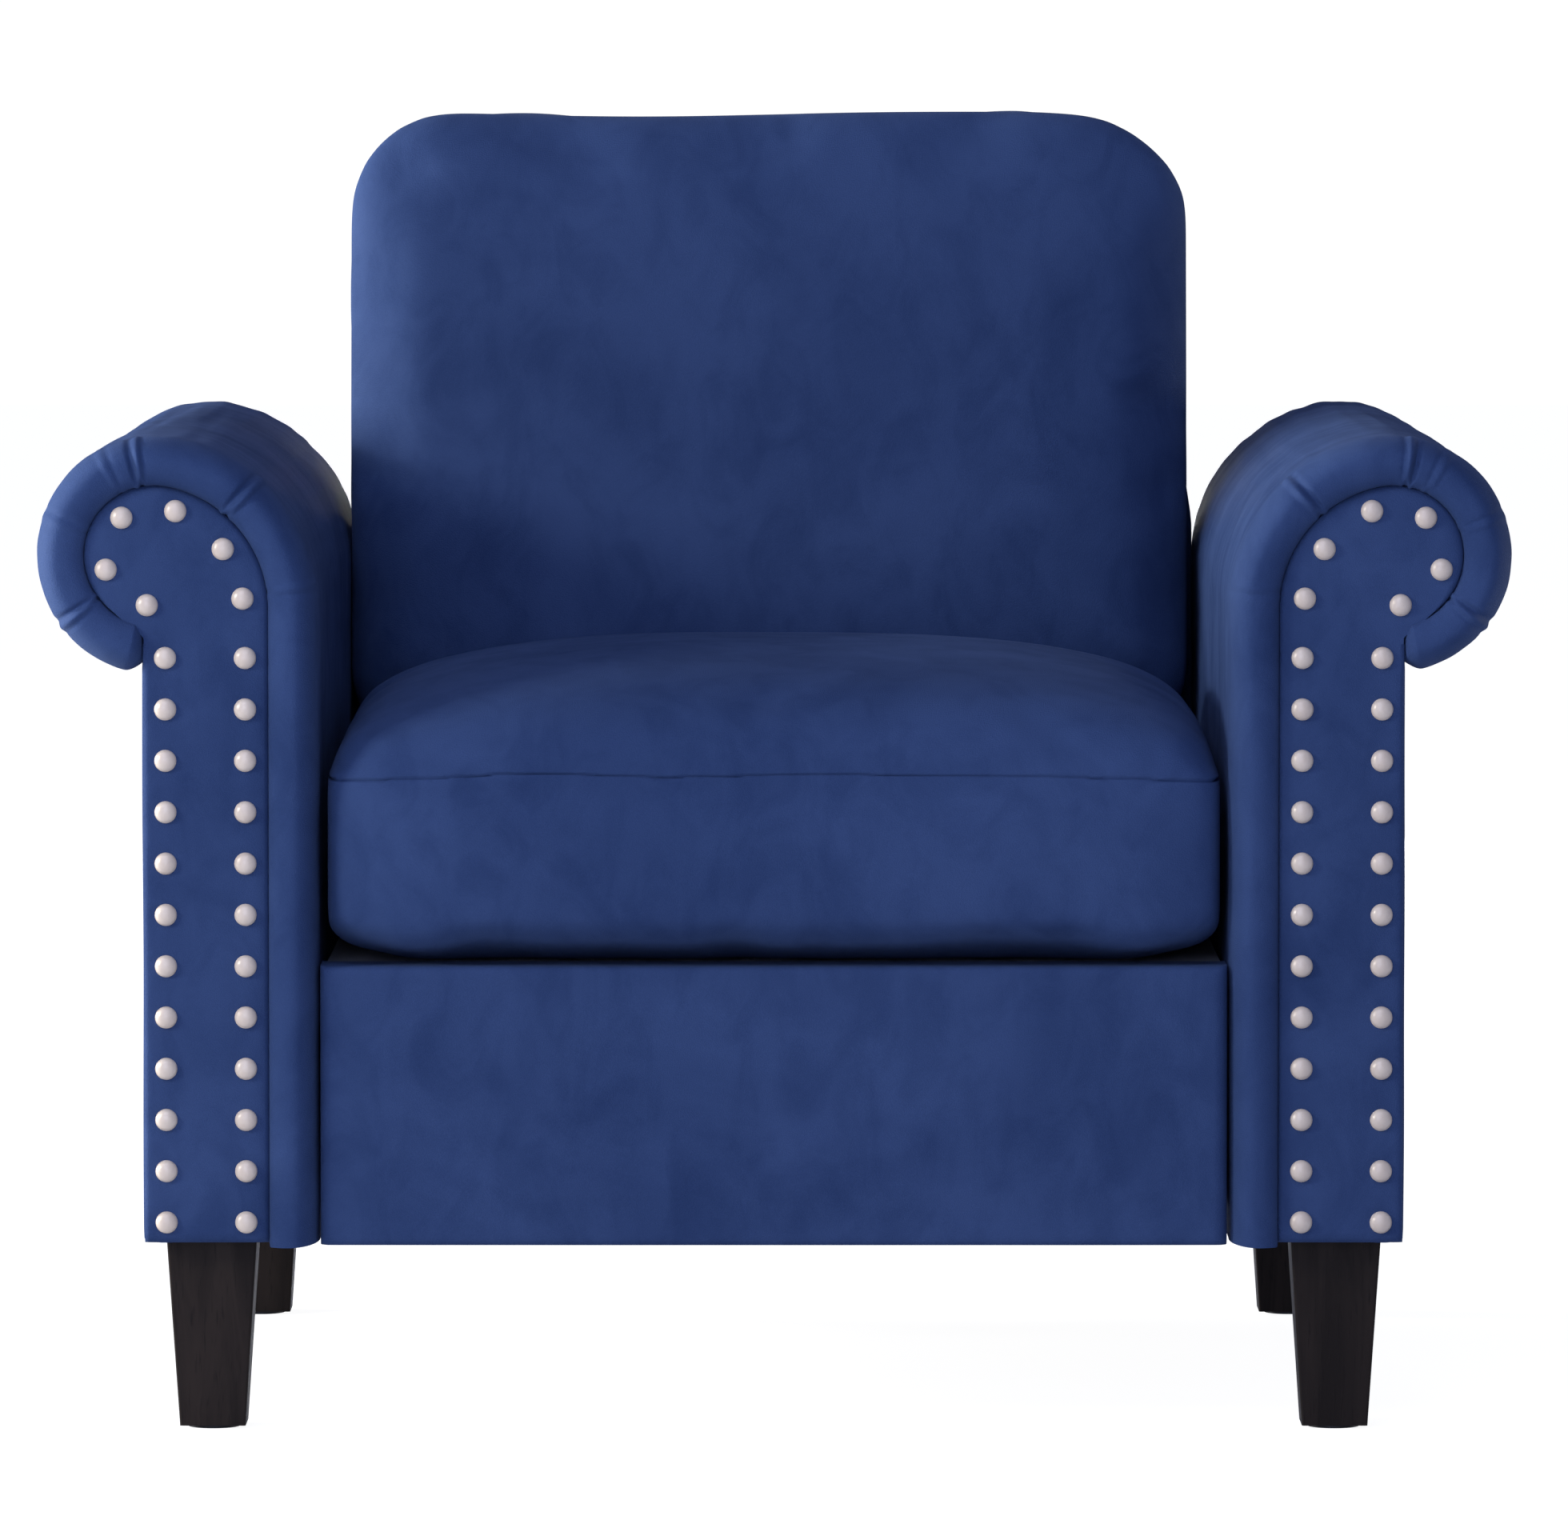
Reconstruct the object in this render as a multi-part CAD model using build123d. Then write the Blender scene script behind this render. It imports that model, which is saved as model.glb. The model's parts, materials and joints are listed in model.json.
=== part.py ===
"""Upholstered armchair with rolled arms, nail trim, a loose seat cushion and tapered wooden legs.

It is a knock-down chair: two arm units, a seat unit and a back unit bolt together, and the legs
screw up into the arms. Millimetres, +Z up, the sitter faces -Y, and +X is on the right as seen
from the front. Everything is first laid out with Y = 0 on the face of the arm facings and
Z = 0 on the floor, then exported about the middle of the chair's footprint.
"""
from build123d import *
import math
import os

# Driving dimensions
ARM_INNER_X = 266.0        # inner face of each arm, from the middle of the chair
ARM_OUTER_X = 367.5        # outer upright face of each arm
ARM_BOTTOM_Z = 112.5       # lower edge of the arm covers
ARM_FRONT_Y = -8.0         # front of the padded roll round the facings
ARM_REAR_Y = 715.0
SCROLL_X, SCROLL_Z = 361.0, 513.5   # centre of the scroll
SCROLL_R = 69.5            # outside of the scroll
SHOULDER_R = 101.0         # larger arc that runs the inner face up into the scroll
FRONT_ROLL_R = 20.0        # rounding of the arm's front edge

VELVET = 2.0               # cover with its thin wadding
ARM_PADDING = 26.5         # foam on the inner side and over the scroll
CORE_INSET = VELVET + ARM_PADDING
FACING_DEPTH = 12.0
BOARD = 18.0               # frame plywood
RAIL = 25.0                # seat and back rails

NAIL_R, NAIL_H = 6.6, 4.4
NAIL_INSET = 13.0          # nail line, from the facing's edge
NAIL_PITCH = 30.0
NAIL_ROWS = 12
NAIL_FIRST_Z = 124.0

LEG_TOP, LEG_FOOT = 53.0, 38.5
LEG_X, LEG_FRONT_Y, LEG_REAR_Y = 329.0, 42.0, 680.0
LEG_TOP_Z = 114.0
GLIDE_R, GLIDE_H = 15.0, 2.0

M8_R, M8_HOLE_R, TEE_BARREL_R, TEE_FLANGE_R = 4.0, 4.5, 5.0, 10.0
TEE_FLANGE, TEE_BARREL = 1.5, 10.0
BOLT_LENGTH = 75.0
SIDE_BOLT_Y = (150.0, 520.0)
SIDE_BOLT_Z = 200.0
BACK_BOLT_X = 150.0
BACK_BOLT_Z = 180.0

SEAT_HALF = 263.0          # outside of the seat box, from the middle
SEAT_FRONT_Y, SEAT_REAR_Y = 14.0, 650.0
RAIL_BOTTOM_Z, RAIL_TOP_Z = 130.0, 240.0
APRON_BOTTOM_Z, DECK_Z = 110.0, 273.5
APRON_FACE_Y = 2.0
UPSTAND_Y, UPSTAND_TOP_Z = 575.0, 351.0   # deck cloth turned up behind the cushion
WIRE_R = 1.9
SPRING_ROWS = 26
SPRING_HALF = 22.0
SPRING_X = (-200.0, -100.0, 0.0, 100.0, 200.0)
CLIP_TOP_Z = RAIL_TOP_Z + 8.5

BACK_HALF = 264.0          # outside of the back, from the middle
BACK_LEAN = 3.5            # degrees
BACK_HINGE_Y, BACK_HINGE_Z = 702.0, 114.0   # foot of the back frame's rear face
BACK_HEIGHT = 646.0        # along the lean
BACK_CORNER_R = 65.0
BACK_FRAME = 48.0          # front to rear
PAD_BOTTOM = 231.0         # foot of the pad, above the frame's foot
PAD_FRONT_LOW = (286.0, -221.5)    # height and front face of the pad, low down
PAD_FRONT_HIGH = (586.0, -192.0)   # the same near the top
PAD_EDGE_R = 36.0

CUSHION_HALF = 262.0
CUSHION_FRONT_Y, CUSHION_REAR_Y = 0.0, 486.0
CUSHION_BOTTOM_Z = 274.6
SHOULDER_Z, CROWN_Z = 384.0, 447.0
ZIP_Z, ZIP_HALF = 326.0, 232.0

OUTSIDE_BACK = 2.5         # outside back panel with its wadding
LEAN = math.radians(BACK_LEAN)
REAR_Y = BACK_HINGE_Y + OUTSIDE_BACK * math.cos(LEAN) + BACK_HEIGHT * math.sin(LEAN)
CENTRE_Y = (ARM_FRONT_Y + REAR_Y) / 2

os.makedirs("parts", exist_ok=True)


def block(x0, x1, y0, y1, z0, z1):
    """A box between two corners."""
    middle = ((x0 + x1) / 2, (y0 + y1) / 2, (z0 + z1) / 2)
    return Pos(*middle) * Box(abs(x1 - x0), abs(y1 - y0), abs(z1 - z0))


def rod(start, direction, radius, length):
    """A round bar from a start point along a direction."""
    return extrude(Plane(start, z_dir=direction) * Circle(radius), amount=length)


def mirrored(shape):
    return mirror(shape, Plane.YZ)


def along_y(face, y0, y1):
    """A face drawn in X and Z, carried from y0 to y1."""
    return Pos(0, y0, 0) * extrude(Plane.XZ * face, amount=y1 - y0, dir=(0, 1, 0))


def save(name, *shapes):
    """Writes one sub-part, moved so that the footprint's middle is the origin."""
    solids = [s for shape in shapes for s in shape.solids()]
    whole = solids[0] if len(solids) == 1 else Compound(solids)
    export_step(Pos(0, -CENTRE_Y, 0) * whole, f"parts/{name}.step")


def save_pair(name, shape):
    """Writes the right-hand sub-part and its mirror image."""
    save(f"{name}_right", shape)
    save(f"{name}_left", mirrored(shape))


# ---------------------------------------------------------------- arm units


def arm_outline(inset, outer_inset, bottom):
    """The arm's section in X and Z, set in from the cover: the inner face runs up into a large
    shoulder arc, which rolls over into the scroll and back under to the outer face."""
    inner_x, outer_x = ARM_INNER_X + inset, ARM_OUTER_X - outer_inset
    shoulder_r, scroll_r = SHOULDER_R - inset, SCROLL_R - inset
    shoulder = Vector(ARM_INNER_X + SHOULDER_R, 0)
    scroll = Vector(SCROLL_X, SCROLL_Z)
    centre_gap = SHOULDER_R - SCROLL_R
    shoulder.Y = SCROLL_Z - math.sqrt(centre_gap**2 - (SCROLL_X - shoulder.X) ** 2)
    toward = (scroll - shoulder).normalized()
    meet = scroll + toward * scroll_r
    start = Vector(inner_x, shoulder.Y)
    halfway = shoulder + ((start - shoulder).normalized() + toward).normalized() * shoulder_r
    under = Vector(outer_x, SCROLL_Z - math.sqrt(scroll_r**2 - (outer_x - SCROLL_X) ** 2))
    outline = [
        Line((inner_x, bottom), start),
        ThreePointArc(start, halfway, meet),
        ThreePointArc(meet, (SCROLL_X + scroll_r, SCROLL_Z), under),
        Line(under, (outer_x, bottom)),
        Line((outer_x, bottom), (inner_x, bottom)),
    ]
    return make_face(Curve() + outline)


def arm_block(inset, bottom, rear):
    """The arm as a solid with a rounded front edge on its inner side and round its scroll."""
    front = ARM_FRONT_Y + inset
    body = along_y(arm_outline(inset, inset, bottom), front, rear)
    front_face = body.faces().sort_by(Axis.Y)[0]
    outer_x = ARM_OUTER_X - inset
    rolled = [e for e in front_face.edges()
              if e.center().Z > bottom + 1 and abs(e.center().X - outer_x) > 0.1]
    return fillet(rolled, FRONT_ROLL_R - inset)


def arm_nail_places():
    """Nail centres: two straight columns, then round the scroll at an even spacing."""
    inner = ARM_INNER_X + CORE_INSET + 0.5 + NAIL_INSET
    outer = ARM_OUTER_X - NAIL_INSET
    places = [(x, NAIL_FIRST_Z + NAIL_PITCH * row) for row in range(NAIL_ROWS) for x in (inner, outer)]
    shoulder_x = ARM_INNER_X + SHOULDER_R
    shoulder_z = SCROLL_Z - math.sqrt((SHOULDER_R - SCROLL_R) ** 2 - (SCROLL_X - shoulder_x) ** 2)
    shoulder_line = SHOULDER_R - CORE_INSET - NAIL_INSET - 1.5
    for angle in (174.0, 143.0):
        turn = math.radians(angle)
        x = shoulder_x + shoulder_line * math.cos(turn)
        z = shoulder_z + shoulder_line * math.sin(turn)
        places.append((x, z))
    scroll_line = SCROLL_R - CORE_INSET - NAIL_INSET + 1.0
    for step in range(4):
        turn = math.radians(116.0 - 66.0 * step)
        x = SCROLL_X + scroll_line * math.cos(turn)
        z = SCROLL_Z + scroll_line * math.sin(turn)
        places.append((x, z))
    return places


def nail(x, z):
    """A domed upholstery nail: a shallow cap and its shank."""
    sphere_r = (NAIL_R**2 + NAIL_H**2) / (2 * NAIL_H)
    ball = Pos(x, sphere_r - NAIL_H, z) * Sphere(sphere_r)
    cap = ball & block(x - NAIL_R - 1, x + NAIL_R + 1, -NAIL_H - 1, 0, z - NAIL_R - 1, z + NAIL_R + 1)
    return cap + rod((x, -0.5, z), (0, 1, 0), 0.9, 10.5)


def make_arm_units():
    everywhere = (-30.0, ARM_REAR_Y + 30.0)
    skin = arm_block(0, ARM_BOTTOM_Z, ARM_REAR_Y)
    filling = arm_block(VELVET, ARM_BOTTOM_Z - 5, ARM_REAR_Y - VELVET)
    recess = along_y(arm_outline(CORE_INSET, 0, ARM_BOTTOM_Z - 20), -30, FACING_DEPTH)
    bolt_holes = [rod((SEAT_HALF - 5, y, SIDE_BOLT_Z), (1, 0, 0), M8_HOLE_R, 50) for y in SIDE_BOLT_Y]
    cover = skin - filling - recess - bolt_holes
    save_pair("arm_cover", cover)

    rail_x0, rail_x1 = ARM_INNER_X + VELVET + 0.5, 306.0
    bolt_rail_space = block(200, rail_x1 + 0.5, FACING_DEPTH + BOARD + 0.5, ARM_REAR_Y - 24, 158, 247)
    core = along_y(arm_outline(CORE_INSET, 0, 80), *everywhere)
    foam = arm_block(VELVET, ARM_BOTTOM_Z, ARM_REAR_Y - VELVET) - core - bolt_rail_space
    save_pair("arm_foam", foam.solids().sort_by(SortBy.VOLUME)[-1])

    board_z = LEG_TOP_Z + BOARD
    former = arm_outline(CORE_INSET + 0.5, 5.0, board_z)
    front_y0 = FACING_DEPTH + 0.5
    front_y1 = front_y0 + BOARD
    rear_y1 = ARM_REAR_Y - 6
    rear_y0 = rear_y1 - BOARD
    save_pair("arm_front_former", along_y(former, front_y0, front_y1))
    save_pair("arm_rear_former", along_y(former, rear_y0, rear_y1))

    scroll_rail = block(SCROLL_X - 23, SCROLL_X + 23, front_y1, rear_y0, SCROLL_Z - 21, SCROLL_Z + 21)
    save_pair("arm_scroll_rail", chamfer(scroll_rail.edges().filter_by(Axis.Y), 5))

    bolt_rail = block(rail_x0, rail_x1, front_y1, rear_y0, 160, 245)
    for y in SIDE_BOLT_Y:
        bolt_rail -= rod((rail_x0 - 1, y, SIDE_BOLT_Z), (1, 0, 0), M8_HOLE_R, 60)
        bolt_rail -= rod((rail_x1 - TEE_BARREL, y, SIDE_BOLT_Z), (1, 0, 0), TEE_BARREL_R, 20)
    save_pair("arm_bolt_rail", bolt_rail)

    bottom_board = block(296, ARM_OUTER_X - 5, front_y0, rear_y1, LEG_TOP_Z, board_z)
    for y in (LEG_FRONT_Y, LEG_REAR_Y):
        bottom_board -= rod((LEG_X, y, LEG_TOP_Z - 1), (0, 0, 1), TEE_BARREL_R, BOARD + 2)
    save_pair("arm_bottom_board", bottom_board)

    save_pair("arm_inner_board", block(295, 298, front_y1, rear_y0, 246, 480))
    save_pair("arm_outer_board", block(359.5, 362.5, front_y1, rear_y0, board_z, 466))

    facing_board = along_y(arm_outline(CORE_INSET + 2, 1.5, ARM_BOTTOM_Z + 2), 3.5, FACING_DEPTH)
    facing = along_y(arm_outline(CORE_INSET + 0.5, 0, ARM_BOTTOM_Z), 0, FACING_DEPTH)
    save_pair("facing_board", facing_board)
    save_pair("facing_cover", facing - facing_board)

    nails = [nail(x, z) for x, z in arm_nail_places()]
    save("nailheads_right", *nails)
    save("nailheads_left", *[mirrored(n) for n in nails])


# ---------------------------------------------------------------- seat unit


def spring(x):
    """One zigzag seat spring, flat between the front and rear rails."""
    first_y, last_y = SEAT_FRONT_Y + 14, SEAT_REAR_Y - 12
    pitch = (last_y - first_y) / (SPRING_ROWS - 1)
    points = []
    for row in range(SPRING_ROWS):
        side = 1 if row % 2 else -1
        y = first_y + pitch * row
        points += [(x + side * SPRING_HALF, y), (x - side * SPRING_HALF, y)]
    path = Pos(0, 0, RAIL_TOP_Z + 4.2) * FilletPolyline(*points, radius=pitch / 2 - 0.6)
    start = path @ 0
    profile = Plane(start, z_dir=path % 0) * Circle(WIRE_R)
    return sweep(profile, path=path)


def spring_clip(x, y):
    """A clip that holds a spring's end bar down on the rail."""
    body = block(x - 6, x + 6, y - 6, y + 6, RAIL_TOP_Z, CLIP_TOP_Z)
    return body - rod((x - 10, y, RAIL_TOP_Z + 4.2), (1, 0, 0), WIRE_R + 0.1, 20)


def make_seat_unit():
    bottom, top = RAIL_BOTTOM_Z, RAIL_TOP_Z
    front_in, rear_in = SEAT_FRONT_Y + RAIL, SEAT_REAR_Y - RAIL
    front_rail = block(-SEAT_HALF, SEAT_HALF, SEAT_FRONT_Y, front_in, bottom, top)
    rear_rail = block(-SEAT_HALF, SEAT_HALF, rear_in, SEAT_REAR_Y, bottom, top)
    side_rail = block(SEAT_HALF - RAIL, SEAT_HALF, front_in, rear_in, bottom, top)
    for x in (-BACK_BOLT_X, BACK_BOLT_X):
        rear_rail -= rod((x, rear_in - 5, BACK_BOLT_Z), (0, 1, 0), M8_HOLE_R, 40)
    for y in SIDE_BOLT_Y:
        side_rail -= rod((SEAT_HALF - RAIL - 5, y, SIDE_BOLT_Z), (1, 0, 0), M8_HOLE_R, 40)
    save("seat_front_rail", front_rail)
    save("seat_rear_rail", rear_rail)
    save_pair("seat_side_rail", side_rail)

    inside = SEAT_HALF - RAIL
    corner = make_face(Polyline((0, 0), (-70, 0), (0, 70), close=True))
    front_block = Pos(inside, front_in, 165) * extrude(corner, amount=60)
    rear_block = Pos(inside, rear_in, 165) * extrude(mirror(corner, Plane.XZ), amount=60)
    save("seat_corner_blocks", front_block, rear_block, mirrored(front_block), mirrored(rear_block))

    save("seat_springs", *[spring(x) for x in SPRING_X])
    clip_rows = (SEAT_FRONT_Y + 14, SEAT_REAR_Y - 12)
    save("spring_clips", *[spring_clip(x, y) for x in SPRING_X for y in clip_rows])

    pad_bottom = CLIP_TOP_Z + 1
    deck_pad_y0 = front_in + 6
    save("deck_pad", block(-261, 261, deck_pad_y0, SEAT_REAR_Y - 10, pad_bottom, DECK_Z - 1.6))
    deck_cloth = block(-263, 263, deck_pad_y0, SEAT_REAR_Y - 6, DECK_Z - 1.5, DECK_Z)
    deck_cloth += block(-263, 263, UPSTAND_Y, UPSTAND_Y + 1.5, DECK_Z, UPSTAND_TOP_Z)
    save("deck_cloth", deck_cloth)

    face = APRON_FACE_Y + VELVET
    apron_top = DECK_Z - VELVET
    apron_bottom = APRON_BOTTOM_Z + VELVET
    foam = block(-SEAT_HALF, SEAT_HALF, face, SEAT_FRONT_Y, apron_bottom, apron_top)
    foam += block(-SEAT_HALF, SEAT_HALF, SEAT_FRONT_Y, deck_pad_y0 - 1, pad_bottom, apron_top)
    save("front_rail_foam", foam)
    cover = block(-SEAT_HALF - 1, SEAT_HALF + 1, APRON_FACE_Y, face, APRON_BOTTOM_Z, DECK_Z)
    cover += block(-SEAT_HALF - 1, SEAT_HALF + 1, face, deck_pad_y0 - 0.5, apron_top, DECK_Z)
    cover += block(-SEAT_HALF - 1, SEAT_HALF + 1, face, front_in, APRON_BOTTOM_Z, apron_bottom)
    rounded = cover.edges().filter_by(Axis.X).group_by(Axis.Y)[0]
    save("front_rail_cover", fillet(rounded, 1.5))

    save("dust_cover", block(-262, 262, SEAT_FRONT_Y + 2, SEAT_REAR_Y - 2, bottom - 1.3, bottom - 0.1))


# ---------------------------------------------------------------- back unit


def leaned(shape):
    """Takes a shape drawn with its rear face on Y = 0 and its foot on Z = 0 to its leaning place."""
    return Pos(0, BACK_HINGE_Y, BACK_HINGE_Z) * (Rot(-BACK_LEAN, 0, 0) * shape)


def back_outline(half, foot, top, corner, round_foot):
    """A panel outline in X and Z with rounded top corners, and rounded foot corners if asked."""
    sketch = Pos(0, (foot + top) / 2) * Rectangle(2 * half, top - foot)
    corners = sketch.vertices() if round_foot else sketch.vertices().filter_by(lambda v: v.Y > foot + 1)
    return fillet(corners, corner)


def pad_block(inset):
    """The back pad: a rounded panel with a front face that leans back a little more than the
    frame, and softly rounded front edges."""
    half, corner = BACK_HALF - inset, BACK_CORNER_R - inset
    outline = back_outline(half, PAD_BOTTOM + inset, BACK_HEIGHT - inset, corner, True)
    slab = along_y(outline, -300, -BACK_FRAME - 0.5)
    (low_z, low_y), (high_z, high_y) = PAD_FRONT_LOW, PAD_FRONT_HIGH
    slope = (high_y - low_y) / (high_z - low_z)
    foot_y = low_y + inset - slope * low_z
    wedge = Polyline((foot_y, 0), (foot_y + slope * 800, 800), (-400, 800), (-400, 0), close=True)
    cutter = extrude(Plane.YZ * make_face(wedge), amount=400, both=True)
    slab -= cutter
    front = slab.faces().sort_by(Axis.Y)[0]
    return fillet(front.edges(), PAD_EDGE_R - inset)


def make_back_unit():
    upright_x0, upright_x1 = 230.0, BACK_HALF - VELVET - 2
    rail_foot = BACK_HEIGHT - VELVET - 70
    upright = leaned(block(upright_x0, upright_x1, -BACK_FRAME, 0, 2, rail_foot))
    save_pair("back_upright", upright)

    rail_top, rail_corner = BACK_HEIGHT - VELVET - 4, BACK_CORNER_R - VELVET - 2
    top_outline = back_outline(upright_x1, rail_foot, rail_top, rail_corner, False)
    save("back_top_rail", leaned(along_y(top_outline, -BACK_FRAME, -BACK_FRAME + RAIL)))
    save("back_lumbar_rail",
         leaned(block(-upright_x0, upright_x0, -BACK_FRAME, -BACK_FRAME + RAIL, 215, 275)))

    bottom_rail = block(-225, 225, SEAT_REAR_Y + 0.5, SEAT_REAR_Y + 40, 130, 235)
    for x in (-BACK_BOLT_X, BACK_BOLT_X):
        bottom_rail -= rod((x, SEAT_REAR_Y - 5, BACK_BOLT_Z), (0, 1, 0), M8_HOLE_R, 60)
        bottom_rail -= rod((x, SEAT_REAR_Y + 40 - TEE_BARREL, BACK_BOLT_Z), (0, 1, 0), TEE_BARREL_R, 20)
    save("back_bottom_rail", bottom_rail)

    straps = [block(x - 25, x + 25, -BACK_FRAME - 0.45, -BACK_FRAME, 230, 615)
              for x in (-150, -50, 50, 150)]
    save("back_webbing", *[leaned(strap) for strap in straps])

    foam = pad_block(VELVET)
    save("back_foam", leaned(foam))
    save("back_cover", leaned(pad_block(0) - foam))

    boxing = back_outline(BACK_HALF, 0, BACK_HEIGHT, BACK_CORNER_R, False)
    boxing -= back_outline(BACK_HALF - VELVET, -10, BACK_HEIGHT - VELVET, BACK_CORNER_R - VELVET, False)
    save("back_boxing", leaned(along_y(boxing, -BACK_FRAME - 0.4, 0.5)))
    panel = back_outline(BACK_HALF - 0.5, 0, BACK_HEIGHT - 0.5, BACK_CORNER_R - 0.5, False)
    save("outside_back", leaned(along_y(panel, 0.5, OUTSIDE_BACK)))


# ---------------------------------------------------------------- loose cushion


def cushion_section(half, bottom, shoulder, crown, corner):
    """One section of the cushion: boxed sides, rounded lower corners and a crowned top."""
    side_top = (half, shoulder)
    haunch = (half * 0.82, shoulder + (crown - shoulder) * 0.70)
    bend = (half * 0.965, shoulder + (crown - shoulder) * 0.44)
    lines = [
        Line((-half, bottom), (half, bottom)),
        Line((half, bottom), side_top),
        ThreePointArc(side_top, bend, haunch),
        ThreePointArc(haunch, (0, crown), (-haunch[0], haunch[1])),
        ThreePointArc((-haunch[0], haunch[1]), (-bend[0], bend[1]), (-half, shoulder)),
        Line((-half, shoulder), (-half, bottom)),
    ]
    face = make_face(Curve() + lines)
    return fillet(face.vertices().filter_by(lambda v: v.Y < bottom + 1), corner)


def cushion_block(inset):
    """The cushion, crowned both ways: its front section and its side section, in common."""
    bottom, crown = CUSHION_BOTTOM_Z + inset, CROWN_Z - inset
    depth_half = (CUSHION_REAR_Y - CUSHION_FRONT_Y) / 2 - inset
    middle = (CUSHION_REAR_Y + CUSHION_FRONT_Y) / 2
    across = cushion_section(CUSHION_HALF - inset, bottom, SHOULDER_Z, crown, 24 - inset)
    along = cushion_section(depth_half, bottom, SHOULDER_Z, crown + 6, 14 - inset)
    block_a = along_y(across, CUSHION_FRONT_Y - 20, CUSHION_REAR_Y + 20)
    block_b = Pos(0, middle, 0) * extrude(Plane.YZ * along, amount=400, both=True)
    return block_a & block_b


def make_cushion():
    foam = cushion_block(VELVET)
    save("cushion_foam", foam)
    save("cushion_cover", cushion_block(0) - foam)

    face = CUSHION_REAR_Y + 0.05
    tape = block(-ZIP_HALF, ZIP_HALF, face, face + 0.8, ZIP_Z - 13, ZIP_Z + 13)
    chain = block(-ZIP_HALF + 4, ZIP_HALF - 4, face + 0.8, face + 3.0, ZIP_Z - 2.6, ZIP_Z + 2.6)
    save("cushion_zip", tape + chain)

    left, right = ZIP_HALF - 22, ZIP_HALF - 12
    low, high = face + 1.15, face + 5.5
    body = block(left, right, low, high, ZIP_Z - 4.6, ZIP_Z + 4.6)
    body -= block(left - 1, right + 1, low - 1, face + 3.4, ZIP_Z - 3.0, ZIP_Z + 3.0)
    pivot_x, pivot_y = (left + right) / 2, high + 2.2
    for side in (-1, 1):
        ear_z = (ZIP_Z + side * 1.6, ZIP_Z + side * 2.6)
        body += block(pivot_x - 0.9, pivot_x + 0.9, high, pivot_y + 0.9, *ear_z)
    body += rod((pivot_x, pivot_y, ZIP_Z - 2.6), (0, 0, 1), 0.6, 5.2)
    save("zip_slider", body)

    eye = rod((pivot_x, pivot_y, ZIP_Z - 1.2), (0, 0, 1), 1.75, 2.4)
    neck = block(pivot_x - 5, pivot_x - 0.8, pivot_y - 0.5, pivot_y + 0.5, ZIP_Z - 1.2, ZIP_Z + 1.2)
    tab = block(pivot_x - 27, pivot_x - 4, pivot_y - 0.5, pivot_y + 0.5, ZIP_Z - 2.8, ZIP_Z + 2.8)
    pull = eye + neck + fillet(tab.edges().filter_by(Axis.Y), 1.5)
    pull -= rod((pivot_x, pivot_y, ZIP_Z - 3), (0, 0, 1), 0.95, 6)
    save("zip_pull", pull)
    print("zip pull pivot, metres:", pivot_x / 1000, (pivot_y - CENTRE_Y) / 1000, ZIP_Z / 1000)


# ---------------------------------------------------------------- legs and fasteners


def leg(x, y):
    foot = Plane((x, y, GLIDE_H)) * RectangleRounded(LEG_FOOT, LEG_FOOT, 1.5)
    head = Plane((x, y, LEG_TOP_Z)) * RectangleRounded(LEG_TOP, LEG_TOP, 1.5)
    return loft([foot, head]) - rod((x, y, LEG_TOP_Z - 35), (0, 0, 1), M8_R, 40)


def tee_nut(start, direction):
    """A tee nut: a flange at the start point, and a barrel that runs back from it."""
    away = Vector(*direction)
    origin = Vector(*start)
    barrel = rod(origin - away * TEE_BARREL, direction, TEE_BARREL_R, TEE_BARREL)
    flange = rod(origin, direction, TEE_FLANGE_R, TEE_FLANGE)
    bore = rod(origin - away * (TEE_BARREL + 1), direction, M8_R, TEE_BARREL + 5)
    return barrel + flange - bore


def assembly_bolt(start, direction):
    """A low-headed M8 bolt. The start point is under its head."""
    origin, away = Vector(*start), Vector(*direction)
    head = rod(origin - away * 5, direction, 8.0, 5)
    socket = extrude(Plane(origin - away * 5, z_dir=direction) * RegularPolygon(2.9, 6), amount=3)
    return head - socket + rod(origin, direction, M8_R, BOLT_LENGTH)


def frame_screw(start, direction):
    """A 50 mm wood screw with a flat head."""
    origin, away = Vector(*start), Vector(*direction)
    return rod(origin, direction, 4.0, 1.5) + rod(origin + away * 1.5, direction, 2.0, 48.5)


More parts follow.
